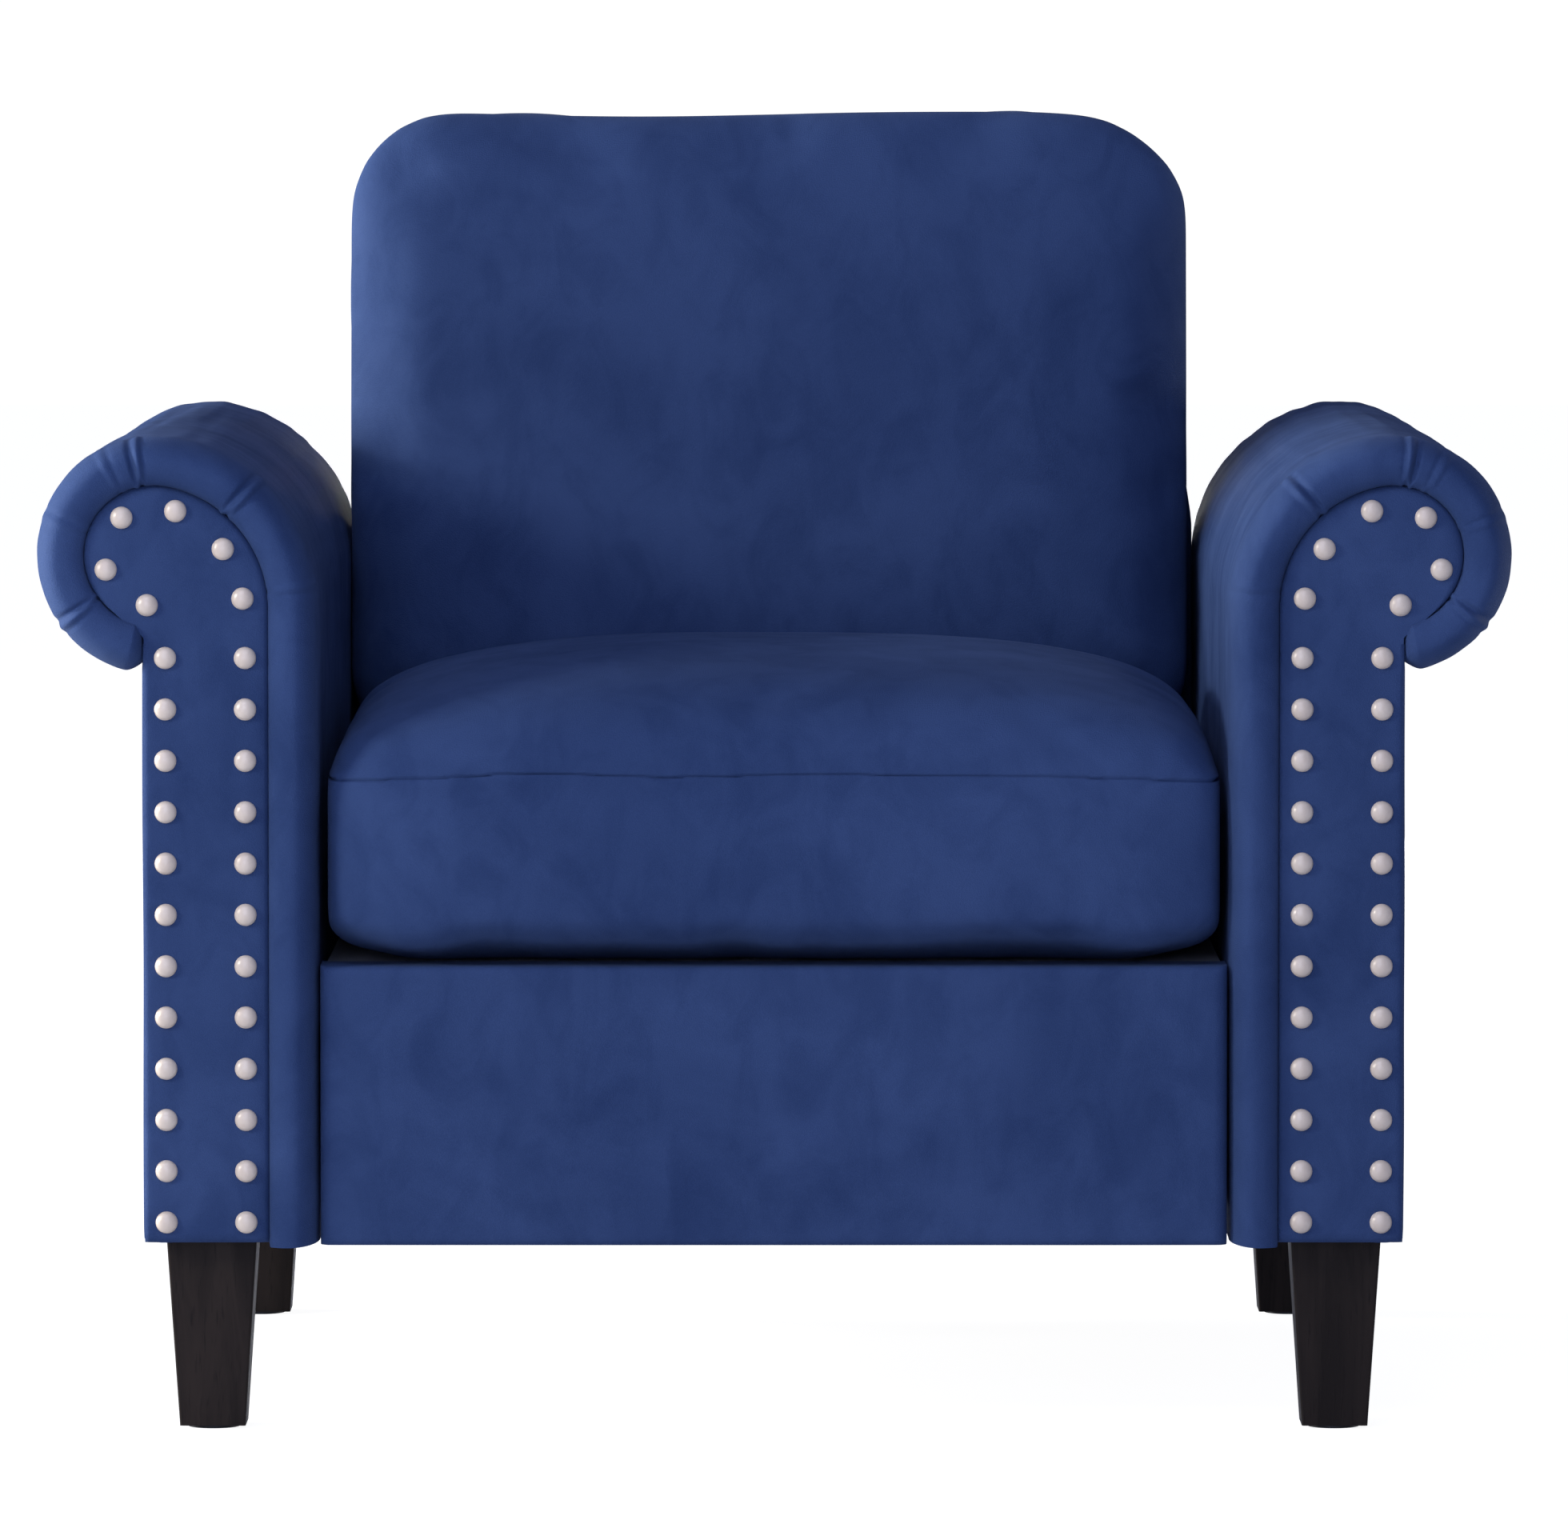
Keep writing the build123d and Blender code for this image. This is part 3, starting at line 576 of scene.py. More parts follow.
front_rail = laid_cloth("front_rail_pad", 130, 90, front_rail_point)
finish_piece(front_rail, "velvet", ("front_rail_cover", "front_rail_foam"))

# %% [markdown]
# ## Stuffed blocks
#
# The loose cushion and the back pad start the same way: a cube with many cuts, whose points are
# moved to a block with rounded corners, a rounded foot and a crowned top. The crown follows a
# superellipse, which is flatter in the middle than a circle and falls quickly at the edges, as
# foam in a tight cover does. A cloth simulation then blows the cover up from inside, so it strains
# towards its middle and pulls in at its corners.

# %% block with a crowned top
def round_plan(x, y, half_x, half_y, radius):
    """Moves a point of a rectangle to the same rectangle with round corners."""
    dx = max(0.0, abs(x) - (half_x - radius))
    dy = max(0.0, abs(y) - (half_y - radius))
    if dx > 0 and dy > 0:
        keep = max(dx, dy) / math.hypot(dx, dy)
        x = math.copysign(half_x - radius + dx * keep, x)
        y = math.copysign(half_y - radius + dy * keep, y)
    return x, y


def crown_share(a, b, power):
    """1 in the middle of the top and 0 at its edges."""
    across = max(0.0, 1 - abs(a) ** power) ** (1 / power)
    along = max(0.0, 1 - abs(b) ** power) ** (1 / power)
    return across * along


BLOCK_CUTS = 44


def stuffed_block(half_x, half_y, low, shoulder, crown, corner, foot, power):
    """A block centred on X and Y, from Z = low to a crown above shoulder. foot is how far in and
    how high its lower edge is rounded."""
    bm = bmesh.new()
    bmesh.ops.create_cube(bm, size=2)
    bmesh.ops.subdivide_edges(bm, edges=bm.edges, cuts=BLOCK_CUTS, use_grid_fill=True)
    for vert in bm.verts:
        a, b, c = vert.co
        on_top = c > 0.9999
        x, y = round_plan(a * half_x, b * half_y, half_x, half_y, corner)
        if on_top:
            z = shoulder + crown * crown_share(a, b, power)
        else:
            z = low + (shoulder - low) * (c + 1) / 2
            rise = z - low
            if rise < foot[1]:
                pull = foot[0] * (1 - math.sqrt(1 - (1 - rise / foot[1]) ** 2))
                x *= 1 - pull / half_x
                y *= 1 - pull / half_y
        vert.co = (x, y, z)
    bmesh.ops.recalc_face_normals(bm, faces=bm.faces)
    return bm


# %% [markdown]
# The simulation works on an even mesh, so a voxel remesh comes first. Pressure is the only force,
# and each point may only move as far as `reach` allows in X, Y and Z, which keeps the piece the
# size the frame gives it.

# %% inflating with cloth
def apply_modifiers(obj):
    """Replaces an object's mesh with what its modifiers make of it."""
    graph = bpy.context.evaluated_depsgraph_get()
    made = bpy.data.meshes.new_from_object(obj.evaluated_get(graph))
    old = obj.data
    obj.modifiers.clear()
    obj.data = made
    bpy.data.meshes.remove(old)


VOXEL = 7 * MM
PRESSURE = 4
FRAMES = 20


def inflate(obj, reach):
    """Remeshes the piece and blows it up by no more than reach."""
    remesh = obj.modifiers.new("Remesh", "REMESH")
    remesh.mode = "VOXEL"
    remesh.voxel_size = VOXEL
    apply_modifiers(obj)
    start = [vert.co.copy() for vert in obj.data.vertices]
    cloth = obj.modifiers.new("Cloth", "CLOTH")
    cloth.settings.quality = 5
    cloth.settings.mass = 0.3
    cloth.settings.tension_stiffness = 15
    cloth.settings.compression_stiffness = 15
    cloth.settings.bending_stiffness = 0.5
    cloth.settings.use_pressure = True
    cloth.settings.uniform_pressure_force = PRESSURE
    cloth.settings.effector_weights.gravity = 0
    cloth.point_cache.frame_start = 1
    cloth.point_cache.frame_end = FRAMES
    for step in range(1, FRAMES + 1):
        bpy.context.scene.frame_set(step)
    graph = bpy.context.evaluated_depsgraph_get()
    moved = [vert.co.copy() for vert in obj.evaluated_get(graph).data.vertices]
    obj.modifiers.clear()
    bpy.context.scene.frame_set(1)
    furthest = 0.0
    for vert, old, new in zip(obj.data.vertices, start, moved):
        shift = new - old
        furthest = max(furthest, shift.length)
        limited = [max(-cap, min(cap, value)) for value, cap in zip(shift, reach)]
        vert.co = old + Vector(limited)
    print(obj.name, "swelled by up to", round(furthest / MM, 1), "mm")


def relax(obj, times):
    """Evens out the small steps that remeshing and capping leave."""
    bm = bmesh.new()
    bm.from_mesh(obj.data)
    for _ in range(times):
        bmesh.ops.smooth_vert(bm, verts=bm.verts, factor=0.5,
                              use_axis_x=True, use_axis_y=True, use_axis_z=True)
    bm.to_mesh(obj.data)
    bm.free()


def fit_to(obj, low, high):
    """Stretches a piece a little so that it fills a box again after remeshing and smoothing."""
    for axis in range(3):
        values = [vert.co[axis] for vert in obj.data.vertices]
        least, span = min(values), max(values) - min(values)
        for vert in obj.data.vertices:
            share = (vert.co[axis] - least) / span
            vert.co[axis] = low[axis] + (high[axis] - low[axis]) * share


def subdivide_once(obj):
    subdivision = obj.modifiers.new("Subdivision", "SUBSURF")
    subdivision.levels = subdivision.render_levels = 1
    apply_modifiers(obj)


# %% [markdown]
# ## The seat cushion
#
# It is the fattest piece of the chair: the front stands up straight, the top climbs to a crown of
# about seven centimetres, and one seam runs round it where the top panel meets the boxing. The
# seam wanders a little, because the edge of soft velvet never runs dead straight. It is cut into
# the finished mesh: three cuts side by side along the line, and the middle one pushed in.

# %% seat cushion
cushion_low, cushion_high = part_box("cushion_cover")
CUSHION_MIDDLE = Vector(((cushion_low.x + cushion_high.x) / 2,
                         (cushion_low.y + cushion_high.y) / 2, 0))
CUSHION_HALF_X = (cushion_high.x - cushion_low.x) / 2
CUSHION_HALF_Y = (cushion_high.y - cushion_low.y) / 2
SEAM_Z = 384.5 * MM
CROWN = 71 * MM
CROWN_POWER = 2.6
CUSHION_CORNER = 36 * MM
CUSHION_FOOT = (6 * MM, 4 * MM)
SWELL = Vector((3, 4, 12)) * MM


def crown_top(x, y):
    """Height of the finished cushion's top over a point of its plan."""
    a = min(1.0, abs(x - CUSHION_MIDDLE.x) / CUSHION_HALF_X)
    b = min(1.0, abs(y - CUSHION_MIDDLE.y) / CUSHION_HALF_Y)
    return SEAM_Z + CROWN * crown_share(a, b, CROWN_POWER)


first_crown = CROWN - SWELL.z
slack = Vector((SWELL.x, SWELL.y))
bm = stuffed_block(CUSHION_HALF_X - slack.x, CUSHION_HALF_Y - slack.y, cushion_low.z, SEAM_Z,
                   first_crown, CUSHION_CORNER, CUSHION_FOOT, CROWN_POWER)
bmesh.ops.translate(bm, vec=CUSHION_MIDDLE, verts=bm.verts)
cushion = mesh_object("seat_cushion_pad", bm)
inflate(cushion, SWELL)
relax(cushion, 3)
half = Vector((CUSHION_HALF_X, CUSHION_HALF_Y, 0))
fit_to(cushion, CUSHION_MIDDLE - half + Vector((0, 0, cushion_low.z)),
       CUSHION_MIDDLE + half + Vector((0, 0, SEAM_Z + CROWN)))

# %% [markdown]
# The cushion rests flat on the deck, its rear face stays flat where the zip is sewn in, and its
# crown keeps its height. Its front bulges a little between upright ends. Those limits are set
# here, then the mesh gets its one subdivision and its seam.

# %% settling the cushion
ZIP_Z = 326 * MM
ZIP_FLAT = 22 * MM
FACE_BULGE = 15 * MM
CORNER_LIFT = 1 * MM
FOOT_PRESS = 0.5
REAR_SLACK, REAR_STRAIN = 0.4 * MM, 2.5 * MM
TOP_WAVE = 1.2 * MM
HOLD, SIDE_HOLD = 0.75, 0.8  # shares of the way to a limit


def settle_cushion(co):
    """Keeps a point inside the space that the cushion has, and rounds its front."""
    a = (co.x - CUSHION_MIDDLE.x) / CUSHION_HALF_X
    b = (co.y - CUSHION_MIDDLE.y) / CUSHION_HALF_Y
    up = min(1.0, max(0.0, (co.z - cushion_low.z) / (SEAM_Z - cushion_low.z)))
    upright = 0.35 + 0.65 * math.sin(math.pi * min(up, 0.999)) ** 0.6
    bulge = FACE_BULGE * (1 - 0.6 * abs(a) ** CROWN_POWER) * upright
    co.y -= bulge * ease(-0.5, -1.0, b)
    near_front = ease(-0.86, -0.96, b) * ease(0.05, 0.115, up) * ease(1.0, 0.85, up)
    co.y += near_front * ease(0.94, 0.80, abs(a)) * HOLD * (cushion_low.y - bulge - co.y)
    off_zip = ease(ZIP_FLAT, 2 * ZIP_FLAT, abs(co.z - ZIP_Z))
    co.y = min(co.y, cushion_high.y - REAR_SLACK + REAR_STRAIN * off_zip)
    rise = co.z - SEAM_Z
    if rise > 0:
        wanted = crown_top(co.x, co.y) - SEAM_Z
        co.z = SEAM_Z + rise + HOLD * (min(rise, wanted) - rise)
        co.z += TOP_WAVE * unevenness(co.x, co.y, 0, 7, 6.0) * ease(0, 30 * MM, rise)
    else:
        lift = CORNER_LIFT * ease(0.78, 1.0, abs(a)) ** 1.5 * ease(0.3, -1.0, b)
        co.z += lift * (1 - up) ** 3
        at_rim = max(ease(0.84, 0.94, abs(a)), 0.8 * ease(0.84, 0.94, abs(b)))
        co.z -= FOOT_PRESS * (co.z - cushion_low.z) * at_rim * ease(0.16, 0.06, up)
        near_side = ease(0.86, 0.97, abs(a)) * ease(0.02, 0.12, up)
        wall = CUSHION_MIDDLE.x + math.copysign(CUSHION_HALF_X, a)
        co.x += near_side * SIDE_HOLD * (wall - co.x)
    return co


for vert in cushion.data.vertices:
    vert.co = settle_cushion(vert.co)
relax(cushion, 1)
subdivide_once(cushion)


def seam_wander(x, y):
    """How far the seam strays up or down from its line."""
    edge = x / CUSHION_HALF_X
    wave = 2.4 * bump_at(x, -145 * MM, 50 * MM) + 1.6 * bump_at(x, 30 * MM, 90 * MM) - 2.4 * edge**4
    return wave * MM + 1.2 * MM * unevenness(x, y, 0, 9, 4.2)


def cut_seam(obj, height, half_width, depth, wander):
    """Cuts a fine groove round a piece at a height that wanders with X and Y."""
    bm = bmesh.new()
    bm.from_mesh(obj.data)
    for vert in bm.verts:
        vert.co.z -= wander(vert.co.x, vert.co.y)
    for level in (height - half_width, height + half_width, height):
        cut = bmesh.ops.bisect_plane(bm, geom=bm.verts[:] + bm.edges[:] + bm.faces[:],
                                     dist=0.02 * MM, plane_co=(0, 0, level), plane_no=(0, 0, 1))
    bm.normal_update()
    middle = [v for v in cut["geom_cut"] if isinstance(v, bmesh.types.BMVert)]
    inward = [(v, v.normal.copy()) for v in middle]
    for vert, normal in inward:
        vert.co -= normal * depth
    for vert in bm.verts:
        vert.co.z += wander(vert.co.x, vert.co.y)
    print(obj.name, "seam of", len(middle), "points")
    bm.to_mesh(obj.data)
    bm.free()


cut_seam(cushion, SEAM_Z, half_width=1.3 * MM, depth=2.6 * MM, wander=seam_wander)
finish_piece(cushion, "velvet", ("cushion_cover", "cushion_foam"), body="seat_cushion")

# %% [markdown]
# ## The back pad
#
# The pad stands between the arms and leans back with the frame. It is made lying down as a block
# whose crown points up, then turned to face forward: local Y becomes the height along the lean and
# local Z becomes the way forward. Its face leans a little more than the frame behind it.

# %% back pad
LEAN = math.radians(3.5)
BACK_HINGE = Vector((0, FRONT + 702 * MM, 114 * MM))
BACK_HALF = 264 * MM
PAD_FOOT, PAD_TOP = 231 * MM, 650 * MM
PAD_REAR = 48.5 * MM
FACE_LOW = Vector((286, 221.5)) * MM
FACE_HIGH = Vector((586, 192.0)) * MM
PAD_EDGE = 46 * MM
PAD_CROWN = 3 * MM
PAD_CORNER = 64 * MM
PAD_FOOT_ROUND = (2 * MM, 3 * MM)
PAD_POWER = 3.0
BACK_SHIFT = 4 * MM
GAP_X = INNER_X - 0.3 * MM
ARM_TOPS = (385 * MM, 430 * MM)
pad_middle = (PAD_FOOT + PAD_TOP) / 2
face_slope = (FACE_HIGH.y - FACE_LOW.y) / (FACE_HIGH.x - FACE_LOW.x)
face_middle = FACE_LOW.y + face_slope * (pad_middle - FACE_LOW.x)
leaned = Matrix.Translation(BACK_HINGE) @ Matrix.Rotation(-LEAN, 4, "X")
PAD_SWELL = Vector((3, 3, 12)) * MM


def stand_up(co):
    """From the block as it lies to its place in the leaning back."""
    height = pad_middle + co.y
    thickness = PAD_REAR + (co.z - PAD_REAR) * (1 + face_slope * co.y / (face_middle - PAD_REAR))
    return leaned @ Vector((co.x, -thickness, height))


pad_slack = PAD_SWELL
half_height = (PAD_TOP - PAD_FOOT) / 2
bm = stuffed_block(BACK_HALF - pad_slack.x, half_height - pad_slack.y, PAD_REAR,
                   face_middle - PAD_EDGE, PAD_EDGE + PAD_CROWN - pad_slack.z,
                   PAD_CORNER, PAD_FOOT_ROUND, PAD_POWER)
pad = mesh_object("back_pad", bm)
inflate(pad, PAD_SWELL)
relax(pad, 3)
pad_face = face_middle + PAD_CROWN
fit_to(pad, (-BACK_HALF, -half_height, PAD_REAR), (BACK_HALF, half_height, pad_face))


def shape_pad(co):
    """The slight faults of a hand-stuffed back: it leans to one side, and its top edge dips."""
    front_share = ease(PAD_REAR + 60 * MM, face_middle, co.z)
    co.z += 1.6 * MM * unevenness(co.x, co.y, 0, 6, 8.0) * front_share
    top_share = ease(half_height - 70 * MM, half_height, co.y)
    dip = 3.2 * bump_at(co.x, -80 * MM, 110 * MM) + 5 * ease(150 * MM, 262 * MM, co.x)
    co.y -= dip * MM * top_share
    co.x -= BACK_SHIFT + 4 * MM * top_share * ease(120 * MM, 250 * MM, co.x)
    above_arm = ease(*ARM_TOPS, pad_middle + co.y)
    return Vector((max(co.x, -GAP_X - 4 * MM * above_arm), co.y, co.z))


for vert in pad.data.vertices:
    vert.co = stand_up(shape_pad(vert.co.copy()))
relax(pad, 1)
subdivide_once(pad)
finish_piece(pad, "velvet", ("back_cover", "back_foam"))

# %% [markdown]
# ## The back's boxing and outside
#
# Behind the pad a band of velvet runs up one side, over the top and down the other, and the
# outside back closes the frame. Both are pulled tight over wood, with a soft edge where they meet.

# %% back boxing and outside back
BACK_TOP = 646 * MM
BACK_CORNER = 65 * MM
STRAIGHT = BACK_TOP - BACK_CORNER
CORNER_RUN = BACK_CORNER * math.pi / 2
BAND_RUN = 2 * STRAIGHT + 2 * CORNER_RUN + 2 * (BACK_HALF - BACK_CORNER)


def back_outline(run, inset):
    """X and height along the inverted U of the back, from the foot of the left side."""
    flip = 1
    if run > BAND_RUN / 2:
        run, flip = BAND_RUN - run, -1
    if run < STRAIGHT:
        return Vector((flip * (-BACK_HALF + inset), run))
    if run < STRAIGHT + CORNER_RUN:
        turn = math.pi - (run - STRAIGHT) / BACK_CORNER
        radius = BACK_CORNER - inset
        return Vector((flip * (-BACK_HALF + BACK_CORNER + radius * math.cos(turn)),
                       STRAIGHT + radius * math.sin(turn)))
    walked = run - STRAIGHT - CORNER_RUN
    return Vector((flip * (-BACK_HALF + BACK_CORNER + walked), BACK_TOP - inset))


def lean_aside(spot):
    """Below the arms' tops the back is squeezed between them, and above them it leans aside."""
    above_arm = ease(*ARM_TOPS, spot.y)
    widen = 1 + ((INNER_X + 0.8 * MM) / BACK_HALF - 1) * (1 - above_arm)
    shift = (3 - spot.x / BACK_HALF) * MM
    return Vector((spot.x * widen - shift * above_arm, spot.y))


def boxing_point(u, v):
    y, sink = rolled_edge(v, -PAD_REAR - 1.5 * MM, 1.5 * MM, 3 * MM, 7 * MM)
    run = BAND_RUN * u
    spot = lean_aside(back_outline(run, 0.0))
    inner = lean_aside(back_outline(run, 20 * MM))
    spot = spot + (inner - spot).normalized() * (sink + 1.5 * MM - 1.5 * MM * math.sin(math.pi * v))
    return leaned @ Vector((spot.x, y, spot.y))


boxing = laid_cloth("back_band", 240, 18, boxing_point)
finish_piece(boxing, "velvet", ("back_boxing",))


def outside_back_point(u, v):
    """v runs from the edge of the panel to its middle line."""
    run = BAND_RUN * u
    edge = back_outline(run, 1.2 * MM)
    middle = Vector((0, min(edge.y, BACK_TOP - 1.2 * MM)))
    if edge.y > STRAIGHT:
        middle.y = STRAIGHT + (edge.y - STRAIGHT) * 0.35
    spot = edge.lerp(middle, v)
    from_edge = (spot - edge).length
    spot = lean_aside(spot)
    depth = 2.4 * MM - 2.6 * MM * math.exp(-from_edge / (2.2 * MM))
    depth += 0.6 * MM * unevenness(spot.x, 0, spot.y, 7, 2.5) * ease(0, 40 * MM, from_edge)
    return leaned @ Vector((spot.x, depth, spot.y))


outside_back = laid_cloth("back_outside", 240, 40, outside_back_point, flip=True)
finish_piece(outside_back, "velvet", ("outside_back",))

# %% [markdown]
# ## Underneath
#
# A black non-woven cloth closes the seat from below. It is stapled all round and sags a little
# between the staples. Strips of the same cloth close the undersides of the arms, round the legs.

# %% dust cover
dust_low, dust_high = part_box("dust_cover")
DUST_SAG, DUST_RUFFLE = 5 * MM, 0.6 * MM


def dust_point(u, v):
    x = dust_low.x + (dust_high.x - dust_low.x) * u
    y = dust_low.y + (dust_high.y - dust_low.y) * v
    sag = DUST_SAG * (math.sin(math.pi * u) * math.sin(math.pi * v)) ** 0.7
    rim = DUST_RUFFLE * math.sin(u * 70) * ease(0.06, 0, min(u, 1 - u, v, 1 - v))
    return Vector((x, y, dust_low.z + 0.3 * MM - sag + rim + 0.5 * MM * unevenness(x, y, 0, 20, 3)))


dust = laid_cloth("dust_cloth", 90, 100, dust_point, flip=True)
finish_piece(dust, "dust_cloth", ("dust_cover",))


def underside_point(u, v, side):
    x = INNER_X + 3 * MM + (OUTER_X - INNER_X - 5 * MM) * u
    y = FRONT + 3 * MM + (REAR - FRONT - 5 * MM) * v
    return Vector((side * x, y, ARM_FOOT + (0.6 + 0.3 * math.sin(v * 130)) * MM))


for side, word in SIDES:
    strip = laid_cloth(f"arm_underside_{word}", 16, 90, lambda u, v: underside_point(u, v, side),
                       flip=side > 0)
    finish_piece(strip, "dust_cloth")

# %% [markdown]
# The staples are short bevelled bars, in rows along the four edges of the cloth.

# %% staples
STAPLE_WIDTH = 10 * MM
STAPLE_WIRE = 1.1 * MM
STAPLE_GAP = 45 * MM
bm = bmesh.new()
width, depth = dust_high.x - dust_low.x, dust_high.y - dust_low.y
spots = []
for count, along_x in ((round(width / STAPLE_GAP), True), (round(depth / STAPLE_GAP), False)):
    for index in range(count):
        share = (index + 0.5) / count
        for edge in (6 * MM, -6 * MM):
            if along_x:
                y = dust_low.y + edge if edge > 0 else dust_high.y + edge
                spots.append((dust_low.x + width * share, y, 0))
            else:
                x = dust_low.x + edge if edge > 0 else dust_high.x + edge
                spots.append((x, dust_low.y + depth * share, math.pi / 2))
for x, y, turn in spots:
    place = Matrix.Translation((x, y, dust_low.z - 0.2 * MM)) @ Matrix.Rotation(turn, 4, "Z")
    add_bar(bm, place, (STAPLE_WIDTH, STAPLE_WIRE, STAPLE_WIRE), 0.3 * MM)
staples = mesh_object("dust_cloth_staples", bm)
finish_piece(staples, "steel", smooth=False)
print(len(spots), "staples")

# %% [markdown]
# ## The deck
#
# With the cushion lifted out, the deck shows: plain cloth pulled over a felt pad, turned up behind
# the cushion, with the springs' rows just showing as shallow waves.

# %% deck cloth
deck_low, deck_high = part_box("deck_cloth")
DECK_Z = 273.5 * MM
UPSTAND_Y = FRONT + 575 * MM


def deck_point(u, v):
    x = deck_low.x + 0.5 * MM + (deck_high.x - deck_low.x - 1 * MM) * u
    flat = UPSTAND_Y - deck_low.y
    rise = deck_high.z - DECK_Z
    walk = (flat + rise) * v
    waves = 0.4 * MM * math.cos(x / (100 * MM) * 2 * math.pi)
    if walk < flat:
        inside = ease(0, 30 * MM, walk) * ease(0, 30 * MM, flat - walk)
        return Vector((x, deck_low.y + walk, DECK_Z - 0.7 * MM + waves * inside))
    return Vector((x, UPSTAND_Y, DECK_Z - 0.7 * MM + walk - flat))


deck = laid_cloth("deck_cover", 100, 110, deck_point)
finish_piece(deck, "deck_cloth", ("deck_cloth",))

# %% [markdown]
# ## The zip
#
# The cushion's cover opens along its rear. A zip is a woven tape with two rows of small teeth, so
# it is a flat strip with a raised edge and one short tooth after another, alternately from above
# and from below. There are so many teeth that each is only a bevelled block.

# %% zip tape and teeth
zip_low, zip_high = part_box("cushion_zip")
TAPE_THICK = 0.8 * MM
TOOTH_PITCH = 2.6 * MM
TOOTH_SIZE = (1.7 * MM, 1.8 * MM, 4.0 * MM)
TOOTH_LIFT = 0.5 * MM
TAPE_END = 5 * MM
bm = bmesh.new()
tape_size = (zip_high.x - zip_low.x, TAPE_THICK, zip_high.z - zip_low.z)
tape_middle = ((zip_low.x + zip_high.x) / 2, zip_low.y + TAPE_THICK / 2,
               (zip_low.z + zip_high.z) / 2)
add_bar(bm, Matrix.Translation(tape_middle), tape_size, 0.25 * MM, segments=2)
tooth_count = int((tape_size[0] - 2 * TAPE_END) / TOOTH_PITCH)
for index in range(tooth_count):
    x = zip_low.x + TAPE_END + TOOTH_PITCH * (index + 0.5)
    lift = TOOTH_LIFT if index % 2 else -TOOTH_LIFT
    place = Matrix.Translation((x, zip_low.y + TAPE_THICK + 0.9 * MM, ZIP_Z + lift))
    add_bar(bm, place, TOOTH_SIZE, 0.35 * MM)
zip_piece = mesh_object("cushion_zip_chain", bm)
finish_piece(zip_piece, "zip_tape", ("cushion_zip",), body="seat_cushion", smooth=False)
print(tooth_count, "teeth")

# %% [markdown]
# # Materials
#
# Every material reads Object coordinates. The pieces sit at the origin with their place in their
# meshes, so those are metres in the chair's own space: a pattern runs on from one piece to the
# next at one scale, and no UV map is needed. What several materials share is built once as a node
# group: cloudy variation of tone, a fine pile or weave, and wood grain.

# %% node helpers
def new_group(name, inputs, outputs):
    """An empty shader group with float, vector or colour sockets."""
    group = bpy.data.node_groups.new(name, "ShaderNodeTree")
    for label, kind, value in inputs:
        socket = group.interface.new_socket(name=label, in_out="INPUT", socket_type=kind)
        if value is not None:
            socket.default_value = value
    for label, kind in outputs:
        group.interface.new_socket(name=label, in_out="OUTPUT", socket_type=kind)
    return group, group.nodes.new("NodeGroupInput"), group.nodes.new("NodeGroupOutput")


def noise_node(tree, vector, scale, detail=3.0, rough=0.5, distortion=0.0):
    node = tree.nodes.new("ShaderNodeTexNoise")
    node.inputs["Detail"].default_value = detail
    node.inputs["Roughness"].default_value = rough
    node.inputs["Distortion"].default_value = distortion
    if isinstance(scale, (int, float)):
        node.inputs["Scale"].default_value = scale
    else:
        tree.links.new(scale, node.inputs["Scale"])
    tree.links.new(vector, node.inputs["Vector"])
    return node.outputs["Fac"]


def remap(tree, value, low, high, to_low, to_high):
    node = tree.nodes.new("ShaderNodeMapRange")
    node.interpolation_type = "SMOOTHSTEP"
    node.inputs["From Min"].default_value = low
    node.inputs["From Max"].default_value = high
    node.inputs["To Min"].default_value = to_low
    node.inputs["To Max"].default_value = to_high
    tree.links.new(value, node.inputs["Value"])
    return node.outputs["Result"]


def mix_colours(tree, factor, first, second):
    node = tree.nodes.new("ShaderNodeMix")
    node.data_type = "RGBA"
    for index, value in ((0, factor), (6, first), (7, second)):
        socket = node.inputs[index]
        if isinstance(value, bpy.types.NodeSocket):
            tree.links.new(value, socket)
        else:
            socket.default_value = value
    return node.outputs[2]


def calculate(tree, operation, first, second=None):
    node = tree.nodes.new("ShaderNodeMath")
    node.operation = operation
    for socket, value in zip(node.inputs, (first, second)):
        if isinstance(value, bpy.types.NodeSocket):
            tree.links.new(value, socket)
        elif value is not None:
            socket.default_value = value
    return node.outputs[0]


def stretched(tree, vector, scale):
    node = tree.nodes.new("ShaderNodeMapping")
    node.inputs["Scale"].default_value = scale
    tree.links.new(vector, node.inputs["Vector"])
    return node.outputs["Vector"]


def new_material(name):
    """A material with a Principled shader, ready for its links."""
    material = bpy.data.materials.new(name)
    material.use_nodes = True
    tree = material.node_tree
    shader = next(n for n in tree.nodes if n.type == "BSDF_PRINCIPLED")
    place = tree.nodes.new("ShaderNodeTexCoord").outputs["Object"]
    return material, tree, shader, place


def use_group(tree, group, place, **values):
    node = tree.nodes.new("ShaderNodeGroup")
    node.node_tree = group
    tree.links.new(place, node.inputs["Place"])
    for label, value in values.items():
        node.inputs[label].default_value = value
    return node


def colour_by(tree, shader, mask, dark, light):
    tree.links.new(mix_colours(tree, mask, dark, light), shader.inputs["Base Color"])


def roughness_by(tree, shader, mask, at_dark, at_light):
    tree.links.new(remap(tree, mask, 0, 1, at_dark, at_light), shader.inputs["Roughness"])


def add_bump(tree, shader, height, strength, distance):
    node = tree.nodes.new("ShaderNodeBump")
    node.inputs["Strength"].default_value = strength
    node.inputs["Distance"].default_value = distance
    tree.links.new(height, node.inputs["Height"])
    tree.links.new(node.outputs["Normal"], shader.inputs["Normal"])


